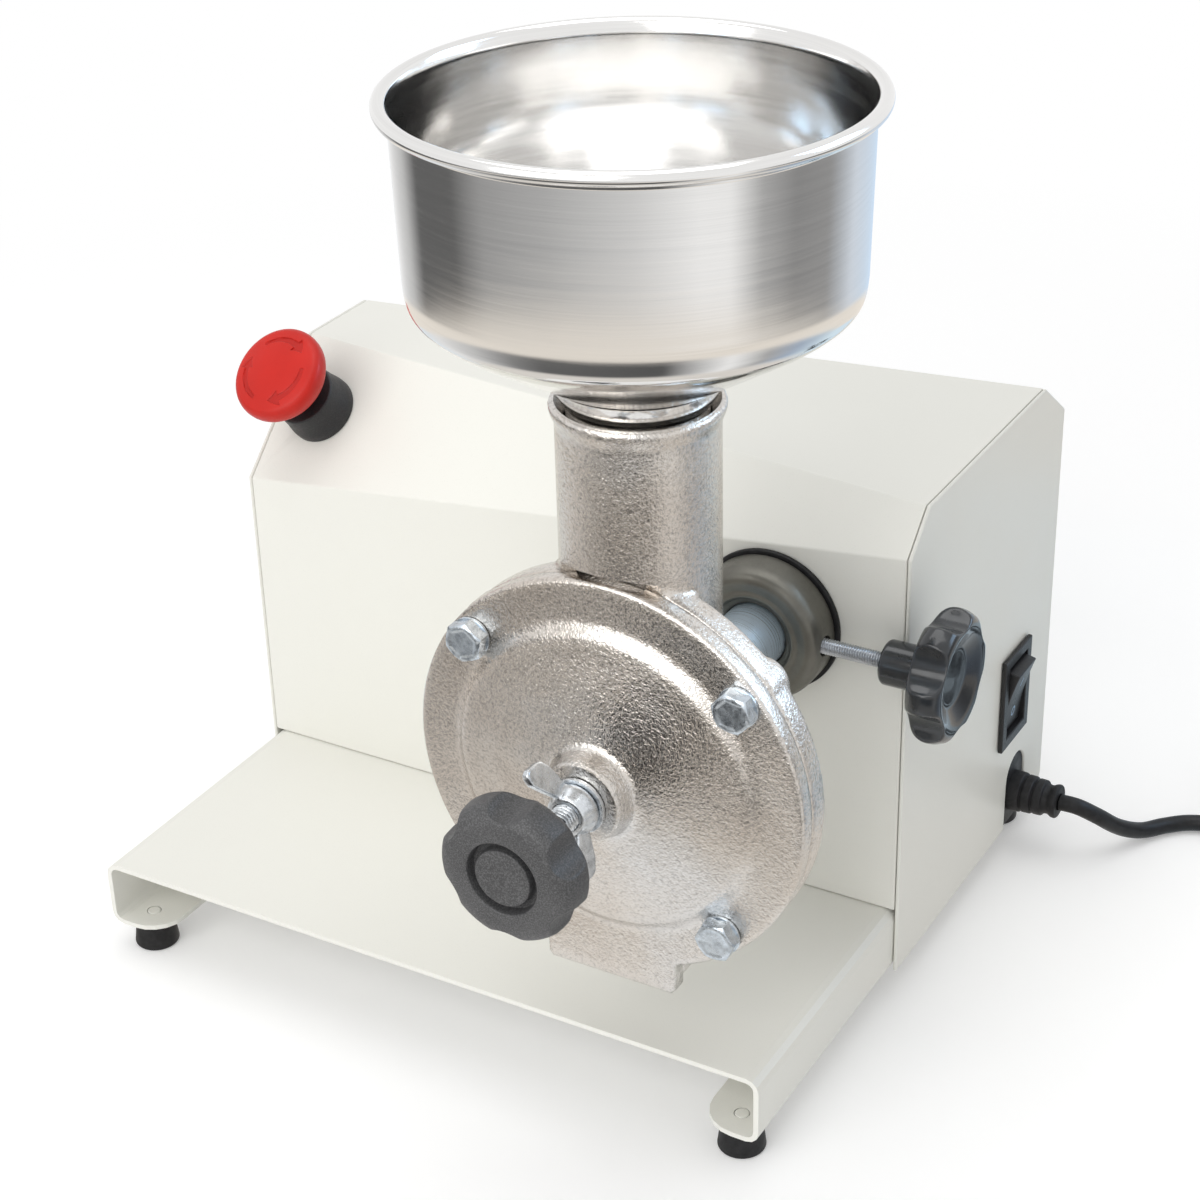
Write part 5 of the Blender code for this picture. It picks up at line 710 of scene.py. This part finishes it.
def rim_radius(turn, radius=73.0, half=25.0, drop=81.0):
    """The cover's outline from its axis: round, with a square lip at the foot."""
    s, c = math.sin(turn), abs(math.cos(turn))
    if s > -0.3:
        return radius
    box = -ease_over(-drop / -s, -half / max(c, 1e-4), 2.2)
    return ease_over(radius, box, 3.4)


COVER_RELIEF = [
    (5.4, 24.0), (13.0, 24.0), (14.2, 23.4), (15.0, 21.6), (16.2, 17.4), (17.4, 15.9), (20.0, 15.1),
    (28.0, 13.9), (38.0, 12.3), (46.0, 11.0), (51.0, 10.3), (54.0, 9.6), (56.5, 8.0), (58.5, 7.2),
    (61.0, 7.0), (66.0, 7.0),
]
COVER_EDGE = [
    (1.5, 6.95), (0.9, 6.75), (0.35, 6.25), (0.08, 5.6), (0.0, 4.6), (0.0, 2.0), (0.15, 0.5), (0.7, 0),
]


def make_cover():
    sides = 288
    frame_at = facing_front(HEAD_X, -2, HEAD_Z)
    flat, bore, seat = COVER_RELIEF[-1][0], COVER_RELIEF[0][0], 40.0
    points = []

    def ring(radius_at, height):
        for i in range(sides):
            turn = TAU * i / sides
            r = radius_at(turn)
            u, v = r * math.cos(turn), r * math.sin(turn)
            swell = 0.12 * noise.noise(Vector((u, v, height)) * 0.07) if height > 5 and r > 6 else 0
            points.append(frame_at @ (Vector((u, v, height + swell)) * MM))

    for radius, height in smooth_line([Vector(knot) for knot in COVER_RELIEF], 4):
        ring(lambda turn, r=radius: r, height)
    for share in (0.35, 0.7):
        ring(lambda turn, s=share: flat + (rim_radius(turn) - 1.5 - flat) * s, 7.0)
    for inset, height in COVER_EDGE:
        ring(lambda turn, o=inset: rim_radius(turn) - o, height)
    ring(lambda turn: seat, 0)
    ring(lambda turn: bore, 0)
    faces = loops(len(points) // sides, sides, True)
    cover = piece("cover_casting", points, faces, FINISHES["cast_metal"], 50)
    dress(cover, "machine", "cast_metal", "front_cover")


def make_body():
    cast = FINISHES["cast_metal"]
    front = -1.7
    frame_at = place(at(HEAD_X, front, HEAD_Z), -X, Z, Y)
    outside = eased([
        (0, 0), (72.9, 0, 0.6), (72.9, 10, 1.6), (63.5, 10.6, 1.5), (61.5, 17, 3), (40, 24, 6),
        (27, 31, 5), (26, 51.7, 3), (13.9, 63.5, 2), (12.6, 66, 0.5), (12.6, 70), (0, 70),
    ])
    drum = spun("body_casting", outside, frame_at, cast, 144)
    throat = spun("throat", eased([
        (0, 155), (26.9, 155), (26.9, 276.5, 2), (28.3, 279.0, 1.5), (28.9, 281.4, 1), (28.2, 283, 0.9), (0, 283),
    ]), facing_up(HEAD_X, THROAT_Y, 0), cast, 96)
    spout_low, spout_high = at(HEAD_X - 24, front, HEAD_Z - 79), at(HEAD_X + 24, 9.3, HEAD_Z - 55)
    spout = slab("spout", [(-24, 0), (24, 0), (24, 24), (-24, 24)], 11.0,
                 place(Vector(((spout_low.x + spout_high.x) / 2, spout_high.y, spout_low.z)), X, Z, -Y), cast, 1.4)
    lugs = []
    for turn in BOLT_TURNS:
        u, v = 64.5 * math.cos(math.radians(turn)), 64.5 * math.sin(math.radians(turn))
        lugs.append(spun("lug", eased([(0, 0), (9.2, 0), (9.2, 12.5, 1.5), (0, 13)]),
                         place(at(HEAD_X + u, front + 0.3, HEAD_Z + v), -X, Z, Y), cast, 32))
    body = fused(drum, [throat, spout, *lugs], 1.15 * MM, 5)
    room = spun("room", [(0, -40), (76, -40), (76, 0.02), (0, 0.02)], frame_at, cast, 96)
    bore = spun("bore", [(0, 205), (23.5, 205), (23.5, 277.6), (26.9, 283.2), (26.9, 300), (0, 300)],
                facing_up(HEAD_X, THROAT_Y, 0), cast, 96)
    chamber = spun("chamber", [(0, -5), (50, -5), (50, 10.4), (17, 10.4), (17, 47.7), (0, 47.7)],
                   frame_at, cast, 96)
    slot = slab("slot", [(-18.5, -20), (18.5, -20), (18.5, 30), (-18.5, 30)], 12,
                place(at(HEAD_X, 5.0, HEAD_Z - 79), X, Z, -Y), cast)
    carve(body, room, bore, angle=50)
    carve(body, chamber, slot, angle=50)
    neck_at = place(at(HEAD_X, 59.6, HEAD_Z), -X, Z, Y)
    # The journal wears the neck finish with its painted blue reflection.
    neck = spun("neck_journal", eased([
        (0, 0), (12.2, 0), (12.5, 0.6), (12.5, 51.6), (11.9, 52.2), (8.2, 52.2), (8.2, 8), (0, 8),
    ]), neck_at, NECK_PAINTED_REFLECTION_FINISH, 72)
    carve(neck, spun("passage", [(0, -5), (8, -5), (8, 60), (0, 60)], neck_at, NECK_PAINTED_REFLECTION_FINISH, 48))
    dress(neck, "machine", "cast_metal", "grinder_body")
    dress(body, "machine", "cast_metal", "grinder_body")


def make_bolt(name, node, u, v, spin):
    """A hexagon head with its real turned chamfer, on a flat washer."""
    frame_at = place(at(HEAD_X + u, -9.2, HEAD_Z + v), X, Z, -Y) @ Matrix.Rotation(spin, 4, "Z")

    def hexagon(radius, height, turn):
        near = (turn + math.pi / 6) % (math.pi / 3) - math.pi / 6
        reach = radius / math.cos(near)
        chamfer = max(0, reach - 6.2) * 0.62
        return reach, height - chamfer if height > 3 else height

    head = [(0, 1.0), (6.5, 1.0), (6.5, 2.4), (6.5, 4.2), (6.49, 6.1), (6.2, 6.22), (5.8, 6.28),
            (4.9, 6.3), (4.4, 6.1), (0, 6.0)]
    ring = eased([(3, 0), (7.2, 0, 0.3), (7.2, 1.0, 0.3), (3, 1.0)], True)
    rod = [(0, -18.6), (3.4, -18.6), (4.0, -18), (4.0, 0.9), (0, 0.9)]
    bolt = spun(name, head, frame_at, BOLT_FINISH, 72, shape=hexagon, angle=30)
    washer = spun(name + "_washer", ring, frame_at, BOLT_FINISH, 56, True)
    shank = spun(name + "_shank", rod, frame_at, BOLT_FINISH, 24)
    for obj in (bolt, washer, shank):
        dress(obj, "machine", "zinc_steel", node)


def make_bolts():
    for number, (turn, spin) in enumerate(zip(BOLT_TURNS, (0.32, 0.9, 0.15, 0.6)), 1):
        u, v = 65 * math.cos(math.radians(turn)), 65 * math.sin(math.radians(turn))
        make_bolt("hex_bolt_%d" % number, "cover_bolt_%d" % number, u, v, spin)


# Adjuster


def make_adjuster():
    screw = threaded("adjusting_thread", 5, 1.5, 52.4, facing_front(HEAD_X, -13.25, HEAD_Z),
                     FINISHES["zinc_steel"], 36)
    dress(screw, "adjuster", "zinc_steel", "adjusting_screw")
    washer = spun("spring_washer", eased([(5.3, 0), (10, 0, 0.3), (10, 1.6, 0.3), (5.3, 1.6)], True),
                  facing_front(HEAD_X, -26.3, HEAD_Z), FINISHES["zinc_steel"], 64, True)
    dress(washer, "washer", "zinc_steel", "lock_washer")
    make_wing_nut()
    make_front_knob()


def make_wing_nut():
    back = -28.2
    finish = FINISHES["zinc_steel"]
    hub = spun("wing_nut_forging", eased([(0, 0), (8.8, 0, 0.5), (8.9, 2.0, 1), (6.9, 7.2, 1), (0, 7.2)]),
               facing_front(HEAD_X, back, HEAD_Z), finish, 64)
    leaf = [(3, 0.4), (8.8, 0.4), (17.2, 3.6), (20.9, 6.6), (21.4, 9.0), (21.4, 13.6), (20.6, 15.3),
            (18.8, 15.9), (16.4, 15.4), (11.4, 11.0), (7.4, 7.0), (3, 7.0)]
    thick = 2.9
    wings = []
    for turn in (118, 298):
        a = math.radians(turn)
        out = Vector((math.cos(a), 0, math.sin(a)))
        leaf_at = place(at(HEAD_X, back, HEAD_Z), out, -Y, out.cross(-Y))
        centred = leaf_at @ Matrix.Translation(Vector((0, 0, -thick / 2 * MM)))
        wings.append(slab("wing", leaf, thick, centred, finish, 0.7))
    nut = fused(hub, wings, 0.33 * MM, 4)
    bore = spun("nut_bore", [(0, -5), (5.25, -5), (5.25, 25), (0, 25)],
                facing_front(HEAD_X, back, HEAD_Z), finish, 48)
    carve(nut, bore, angle=50)
    dress(nut, "wing", "zinc_steel", "wing_nut")


def make_front_knob():
    profile = eased([
        (0, 16), (5.3, 16), (5.3, 0.3), (9.4, 0, 0.6), (10.6, 9, 1.2), (22.5, 9.6, 2), (24.7, 12.0, 2),
        (24.9, 15.0, 2), (24.9, 17.0, 1), (24.6, 20.6, 3.2), (23.0, 23.4, 2.6), (19.4, 24.9, 2.4),
        (12.95, 24.95, 0.7), (12.6, 20.6, 1), (10.3, 20.6, 1), (10.1, 24.5, 0.7), (0, 24.6),
    ], steps=9)
    knob = spun("front_knob_moulding", profile, facing_front(HEAD_X, -50, HEAD_Z), KNOB_FINISH, 300,
                shape=scalloped(6, 30.4, 9.9, math.radians(29), 0.5, 0.10, 24.9), angle=60)
    dress(knob, "adjuster", "black_plastic", "front_knob")


# Collar and clamp


def make_collar():
    gasket = spun("neck_gasket", eased([(12.8, 0), (28.5, 0, 0.4), (28.5, 1.8, 0.6), (12.8, 1.8)], True),
                  facing_front(HEAD_X, 114.7, HEAD_Z), FINISHES["rubber"], 128, True)
    dress(gasket, "machine", "rubber", "collar_gasket")
    profile = eased([
        (12.8, 0), (27, 0, 0.5), (27, 10.8, 2.4), (25.4, 14.2, 2.4), (22.6, 15.4, 2.6), (18.4, 13.7, 2.4),
        (17.0, 14.3, 0.7), (16.0, 14.2, 0.6), (15.2, 13.0, 0.8), (12.8, 11.8, 0.6),
    ], True, 8)
    collar = spun("neck_collar", profile, facing_front(HEAD_X, 112.6, HEAD_Z), FINISHES["dark_steel"], 144, True)
    hole = spun("hole", [(0, 0), (4.0, 0), (4.0, 30), (0, 30)], facing_right(247, CLAMP_Y, HEAD_Z),
                FINISHES["dark_steel"], 40)
    carve(collar, hole)
    dress(collar, "machine", "dark_steel", "collar")


def make_clamp():
    finish = turned_metal("clamp_rod_zinc", (0.50, 0.52, 0.55), 0.32)
    rod = threaded("clamp_thread", 3, 1.0, 46.7, facing_right(252.4, CLAMP_Y, HEAD_Z), finish, 24)
    dress(rod, "clamp", "zinc_steel", "clamp_rod")
    profile = eased([
        (0, 12), (3.3, 12), (3.3, 0.2), (7.4, 0, 0.6), (8.4, 1.0, 0.8), (8.4, 14.2, 1.0), (16.0, 15.4, 3),
        (22.0, 16.6, 3), (24.6, 20.0, 3), (24.9, 24.0, 3), (23.0, 28.6, 3), (20.4, 29.9, 1.6),
        (17.6, 29.4, 1.2), (11.2, 26.2, 1.0), (9.8, 26.0, 0.5), (0, 26.3),
    ], steps=6)
    knob = spun("star_knob_moulding", profile, facing_right(287.5, CLAMP_Y, HEAD_Z), FINISHES["gloss_plastic"], 240,
                shape=scalloped(6, 30.2, 10.8, math.radians(28), 2.4), angle=60)
    dress(knob, "clamp", "gloss_plastic", "clamp_knob")


# Stop button

STOP_SEAT = Vector((-0.13685, 0.04175, 0.18551))
STOP_OUT = Vector((-0.07733, -0.6861, 0.72339)).normalized()
ARROW_RADIUS = 13.3
ARROW_TAIL = 15.6
ARROW_TIP = 5.2
CROWN_EDGE, CROWN_FOOT, CROWN_RISE = 16.8, 37.25, 2.0


def facing_slope():
    across = Z.cross(STOP_OUT).normalized()
    return place(STOP_SEAT, across, STOP_OUT.cross(across), STOP_OUT)


def arrow_mark(u, v):
    """How deep a place of the button's face lies in one of its three curved arrows, 0 to 1."""
    radius, turn = math.hypot(u, v), math.degrees(math.atan2(v, u))
    best = 0
    for start in (136, 16, -104):
        gone = (start - turn) % 360
        if gone > 100:
            continue
        along = math.radians(gone) * ARROW_RADIUS
        off = abs(radius - ARROW_RADIUS)
        if along < ARROW_TAIL:
            inside = min(0.85 + 0.035 * along - off, along + 0.2)
        else:
            inside = 3.3 * (1 - (along - ARROW_TAIL) / ARROW_TIP) - off
        best = max(best, min(1, max(0, inside / 0.22)))
    return best


def make_stop_button():
    frame_at = facing_slope()
    collar = spun("stop_collar_moulding", eased([
        (7, -16), (10.8, -16), (10.8, 0.3), (14.5, 0.3, 0.4), (14.5, 3.5, 1), (13.6, 9.0, 1),
        (13.1, 16, 0.8), (7, 16),
    ], True), frame_at, FINISHES["black_plastic"], 72, True)
    dress(collar, "machine", "black_plastic", "stop_collar")
    under = eased([
        (0, 26.1), (6.8, 26.1), (6.8, 21.3), (12, 21.3, 0.5), (13.4, 24.0, 1.4), (17.2, 26.6, 1.6),
        (19.6, 30.4, 2.2), (19.9, 33.4, 1.5), (19.3, 35.6, 1.2), (17.9, 36.9, 1.2), (CROWN_EDGE, CROWN_FOOT),
    ], steps=6)
    radii = [CROWN_EDGE - 0.2 * k for k in range(1, 84)]
    crown = [(r, CROWN_FOOT + CROWN_RISE * (1 - (r / CROWN_EDGE) ** 2)) for r in radii]

    def engraved(radius, height, turn):
        if radius > 16.9 or height < 36:
            return radius, height
        return radius, height - 0.55 * arrow_mark(radius * math.cos(turn), radius * math.sin(turn))

    head = spun("stop_head_moulding", under + crown + [(0, CROWN_FOOT + CROWN_RISE)], frame_at,
                FINISHES["red_plastic"], 360, shape=engraved, angle=60)
    # The sunken arrows take the darker red: painted shade in the engraving.
    head.data.materials.append(ARROW_SHADE_FINISH.material)
    back = frame_at.inverted()
    for face in head.data.polygons:
        p = back @ face.center / MM
        if p.z > 36 and arrow_mark(p.x, p.y) > 0.5:
            face.material_index = 1
    dress(head, "stop_head", "red_plastic", "stop_head")


# Switch


def make_rocker():
    """The rocker with its top pressed in, and an I and an O laid on its two halves."""
    tilt = math.radians(12)
    pivot = Vector((0.13175, 0.12875, 0.079))
    end, steps = 15.16, 24

    def leaning(out, height):
        """How far out and how high a place is once the rocker is tilted."""
        return (out * math.cos(tilt) + height * math.sin(tilt), height * math.cos(tilt) - out * math.sin(tilt))

    def front(height):
        """How far the rocker's hollow front stands out at a height."""
        return 4.3 + 1.2 * abs(height / end) ** 1.7

    heights = [end - 2 * end * k / steps for k in range(steps + 1)]
    outline = [leaning(front(h), h) for h in heights]
    outline += [leaning(out, h) for h, out in ((-end, 0), (0, -4), (end, 0))]
    frame_at = place(pivot + Y * 9 * MM, X, Z, -Y)
    rocker = slab("rocker_moulding", outline, 18, frame_at, SWITCH_FINISH, 0.55)
    dress(rocker, "rocker", "black_plastic", "switch_rocker")

    def on_face(across, height, lift):
        out, up = leaning(front(height) + lift, height)
        return pivot + Vector((out, across, up)) * MM

    sunk, raised = -0.2, 0.08
    points = []
    for k in range(9):
        for across, lift in ((-0.35, sunk), (-0.35, raised), (0.35, raised), (0.35, sunk)):
            points.append(on_face(across, 5.4 + 4.2 * k / 8, lift))
    faces = loops(9, 4, False) + [[3, 2, 1, 0], [32, 33, 34, 35]]
    dress(piece("rocker_on_mark", points, faces, MARK_FINISH), "rocker", "black_plastic")
    points = []
    count = 36
    for i in range(count):
        turn = TAU * i / count
        for r, lift in ((1.25, sunk), (1.25, raised), (1.85, raised), (1.85, sunk)):
            points.append(on_face(r * math.cos(turn), -7.2 + 1.25 * r * math.sin(turn), lift))
    faces = loops(count, 4, True)
    dress(piece("rocker_off_mark", points, faces, MARK_FINISH), "rocker", "black_plastic")


# Boot, feet and screws


def make_boot():
    start = 284.7
    profile = [(0, 0), (10.7, 0), (10.7, 1.0), (9.5, 3.0), (8.6, 3.0), (8.6, PANEL_X - start)]
    for radius, low, high in ((8.6, 291.9, 296.0), (8.1, 297.2, 300.8), (7.7, 302.0, 305.4)):
        groove = radius - 1.2
        profile += [(radius, low - start, 0.5), (radius - 0.1, high - start, 0.6),
                    (groove, high - start + 0.4, 0.4), (groove, high - start + 0.8, 0.4)]
    profile += [(6.3, 306.6 - start, 0.6), (6.1, 308.0 - start, 1), (7.2, 309.9 - start, 0.8),
                (7.2, 311.3 - start, 0.5), (6.6, 311.8 - start, 0.3), (3.7, 311.8 - start),
                (3.6, 309.0 - start), (0, 309.0 - start)]
    boot = spun("strain_boot", eased(profile, steps=4), facing_right(start, CORD_Y, CORD_Z), FINISHES["rubber"], 56)
    dress(boot, "machine", "rubber", "strain_relief")
    # A thin black sheet fills the arch behind the cord slot: painted shade, so the slot shows dark as an opening
    # into the housing.
    outline = [(-9.8, 0.4), (9.8, 0.4)] + arc((0, 21.5), 9.8, 0, 180, 20)
    shade_sheet = slab("slot_shade_sheet", outline, 0.9, facing_right(290.12, CORD_Y, 13), FINISHES["rubber"])
    dress(shade_sheet, "machine", "rubber", "strain_relief")


def make_feet():
    for name, x, y in (("foot_front_left", 12, 11), ("foot_front_right", 278, 11),
                       ("foot_back_left", 12, 253), ("foot_back_right", 278, 253)):
        profile = eased([
            (0, 0.6), (3, 0.6), (8.2, 0.0, 0.6), (8.95, 0.9, 0.6), (8.4, 5.0, 1), (7.6, 11.2, 0.8),
            (6.9, 12, 0.4), (2.7, 12), (2.7, 14.1), (2.4, 14.42, 0.2), (0, 14.5),
        ])
        foot = spun(name.replace("foot", "rubber_foot"), profile, facing_up(x, y, 0), FINISHES["rubber"], 56)
        foot.data.materials.append(FINISHES["painted_steel"].material)
        for face in foot.data.polygons:
            if face.center.z > 13.2 * MM:
                face.material_index = 1
        dress(foot, "machine", "rubber", name)


def make_rear_screws():
    for side in ("left", "right"):
        low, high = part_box("rear_screw_" + side)
        middle = Vector(((low.x + high.x) / 2, low.y, (low.z + high.z) / 2))
        frame_at = place(middle, -X, Z, Y)
        head = spun("rear_screw_head_" + side, eased([
            (0, 0), (2, 0), (2, 8), (4, 8, 0.2), (3.9, 8.9, 0.6), (2.8, 9.8, 0.8), (0, 10.2),
        ]), frame_at, FINISHES["zinc_steel"], 40)
        recess_at = frame_at @ Matrix.Translation(Vector((0, 0, 8.9 * MM)))
        bars = [slab("bar", [(-u, -v), (u, -v), (u, v), (-u, v)], 3, recess_at, FINISHES["zinc_steel"])
                for u, v in ((2.2, 0.45), (0.45, 2.2))]
        carve(head, *bars)
        dress(head, "machine", "zinc_steel", "rear_screw_" + side)


# Carried-over solids


def dress_nodes():
    slots = {row["node"]: row["material_slot"] for row in frame["record"]["subparts"]}
    softened = {
        "base_tray": 0.5, "housing_wrap": 0.55, "side_panel_left": 0.35, "side_panel_right": 0.35,
        "rear_panel": 0.3, "switch_housing": 0.5, "mains_plug": 0.8, "terminal_block": 0.5,
        "stop_contact_block": 0.8, "motor_bracket": 0.8,
    }
    for name, node in frame["nodes"].items():
        finish = SWITCH_FINISH if name == "switch_housing" else FINISHES[slots[name]]
        node.data.materials.clear()
        node.data.materials.append(finish.material)
        for face in node.data.polygons:
            face.material_index = 0
        if name in softened:
            weld = node.modifiers.new("weld", "WELD")
            weld.merge_threshold = 0.00001
            ease = node.modifiers.new("edge", "BEVEL")
            ease.width = softened[name] * MM
            ease.segments = 3
            ease.limit_method = "ANGLE"
            ease.angle_limit = math.radians(28)
            ease.harden_normals = False
    pins = 17 * MM
    plug = frame["nodes"]["mains_plug"]
    plug.data.materials.append(BOLT_FINISH.material)
    tip = max((plug.matrix_world @ corner.co).x for corner in plug.data.vertices)
    for face in plug.data.polygons:
        if (plug.matrix_world @ face.center).x > tip - pins:
            face.material_index = 1


# Floor and light


# Colours of the surround by turn round the head, in degrees, the wall's higher up and the ground's low down:
# painted reflections for the polished metal.
WALL_BANDS = [
    (-180, 0.14), (-152, 0.14), (-134, 0.36), (-100, 0.48), (-60, 0.72), (-30, 1.0), (-16, 1.0), (0, 0.46),
    (18, 0.29), (40, 0.33), (62, (0.72, 0.78, 0.86)), (100, (0.66, 0.82, 1.0)), (140, 0.95), (166, 0.60),
    (180, 0.14),
]
GROUND_BANDS = [
    (-180, 0.9), (-150, 0.62), (-125, 0.26), (-108, 0.14), (-46, 0.10), (-30, 0.55), (-12, 1.0), (8, 0.45),
    (28, (0.42, 0.50, 0.62)), (60, (0.75, 0.9, 1.0)), (110, (0.70, 0.86, 1.0)), (180, 0.9),
]
WORLD_FILL = 0.55
PAPER_LIFT = 0.20


def make_stage():
    """White paper that holds the shadow close by and turns plain white farther out."""
    reach = 30
    corners = [(-reach, -reach, 0), (reach, -reach, 0), (reach, reach, 0), (-reach, reach, 0)]
    mesh = bpy.data.meshes.new("studio_floor")
    mesh.from_pydata(corners, [], [(0, 1, 2, 3)])
    floor = bpy.data.objects.new("studio_floor", mesh)
    bpy.context.scene.collection.objects.link(floor)
    f = Finish("studio_floor_paper", (0.90, 0.90, 0.90), 0.9)
    f.paint(f.shades(f.grain(3, 2), 0.995, 1.0))
    seen = seen_directly(f.tree)
    lift = f.node("ShaderNodeEmission")
    f.link(maths(f.tree, "Math", "MULTIPLY", seen, PAPER_LIFT)[0], lift.inputs["Strength"])
    lifted = f.node("ShaderNodeAddShader")
    f.link(f.surface.outputs[0], lifted.inputs[0])
    f.link(lift.outputs[0], lifted.inputs[1])
    away = maths(f.tree, "VectorMath", "LENGTH", f.where)["Value"]
    fade = maths(f.tree, "Math", "MULTIPLY", f.ramp(away, (0.42, 0.0), (0.95, 1.0)), seen)[0]
    plain = f.node("ShaderNodeEmission")
    mix = f.node("ShaderNodeMixShader")
    f.link(fade, mix.inputs[0])
    f.link(lifted.outputs[0], mix.inputs[1])
    f.link(plain.outputs[0], mix.inputs[2])
    f.link(mix.outputs[0], f.tree.nodes["Material Output"].inputs["Surface"])
    mesh.materials.append(f.material)


def make_surround():
    """A glowing sweep of grey and blue bands round the object, seen only in its polished metal: painted
    reflections, which light nothing else.
    """
    f = Finish("surround_sweep", (0, 0, 0), 1.0)
    profile = eased([(130, 1), (560, 2, 40), (575, 240)], steps=8)
    obj = spun("studio_surround", profile, facing_up(HEAD_X, -3, 0), f, 96)
    spot = maths(f.tree, "VectorMath", "SUBTRACT", f.where, at(HEAD_X, -3, 0))[0]
    split = f.node("ShaderNodeSeparateXYZ")
    f.link(spot, split.inputs[0])
    share = f.node("ShaderNodeMapRange")
    share.inputs["From Min"].default_value = -math.pi
    share.inputs["From Max"].default_value = math.pi
    f.link(maths(f.tree, "Math", "ARCTAN2", split.outputs["Y"], split.outputs["X"])[0], share.inputs["Value"])
    wall, ground = [f.ramp(share.outputs[0], *[((turn + 180) / 360, colour) for turn, colour in bands])
                    for bands in (WALL_BANDS, GROUND_BANDS)]
    height = split.outputs["Z"]
    away = maths(f.tree, "VectorMath", "LENGTH", spot)["Value"]
    far = f.ramp(away, (0.25, 0.0), (0.34, 1.0))
    rise = f.ramp(height, (0.018, 0.0), (0.032, 1.0))
    higher = f.ramp(height, (0.085, 0.0), (0.105, 1.0))
    low = f.blend(rise, f.blend(far, (0.80, 0.765, 0.72), ground), (0.92, 0.86, 0.78))
    glow = f.node("ShaderNodeEmission")
    f.link(f.blend(higher, low, wall), glow.inputs["Color"])
    f.link(glow.outputs[0], f.tree.nodes["Material Output"].inputs["Surface"])
    obj.visible_camera = False
    obj.visible_diffuse = False
    obj.visible_shadow = False
    obj.visible_transmission = False


def make_light():
    """A white world that is dimmer as a light than as a background, and three softboxes."""
    world = bpy.data.worlds.new("studio_world")
    bpy.context.scene.world = world
    world.use_nodes = True
    tree = world.node_tree
    background = tree.nodes["Background"]
    level = tree.nodes.new("ShaderNodeMapRange")
    level.inputs["To Min"].default_value = WORLD_FILL
    level.inputs["To Max"].default_value = 1.0
    tree.links.new(seen_directly(tree), level.inputs["Value"])
    tree.links.new(level.outputs[0], background.inputs["Strength"])
    background.inputs["Color"].default_value = (1, 1, 1, 1)
    aim = Vector((0, 0, 0.12))
    for name, spot, size, power, colour in (
        ("key_softbox", (-0.15, -2.1, 1.25), 2.0, 27, (1.0, 0.995, 0.98)),
        ("top_softbox", (-0.1, 0.1, 2.2), 1.6, 14, (0.99, 0.995, 1.0)),
        ("rim_softbox", (1.1, 0.75, 0.9), 0.8, 7, (0.45, 0.70, 1.0)),
    ):
        data = bpy.data.lights.new(name, "AREA")
        data.shape = "SQUARE"
        data.size = size
        data.energy = power
        data.color = colour
        lamp = bpy.data.objects.new(name, data)
        bpy.context.scene.collection.objects.link(lamp)
        lamp.location = spot
        lamp.rotation_euler = (aim - Vector(spot)).to_track_quat("-Z", "Y").to_euler()
        lamp.visible_diffuse = name != "rim_softbox"
    bpy.context.scene.view_settings.view_transform = "Standard"


make_camera()
make_cord()
make_stage()
make_surround()
make_light()
dress_nodes()
make_hopper()
make_cover()
make_body()
make_bolts()
make_adjuster()
make_collar()
make_clamp()
make_stop_button()
make_rocker()
make_boot()
make_feet()
make_rear_screws()
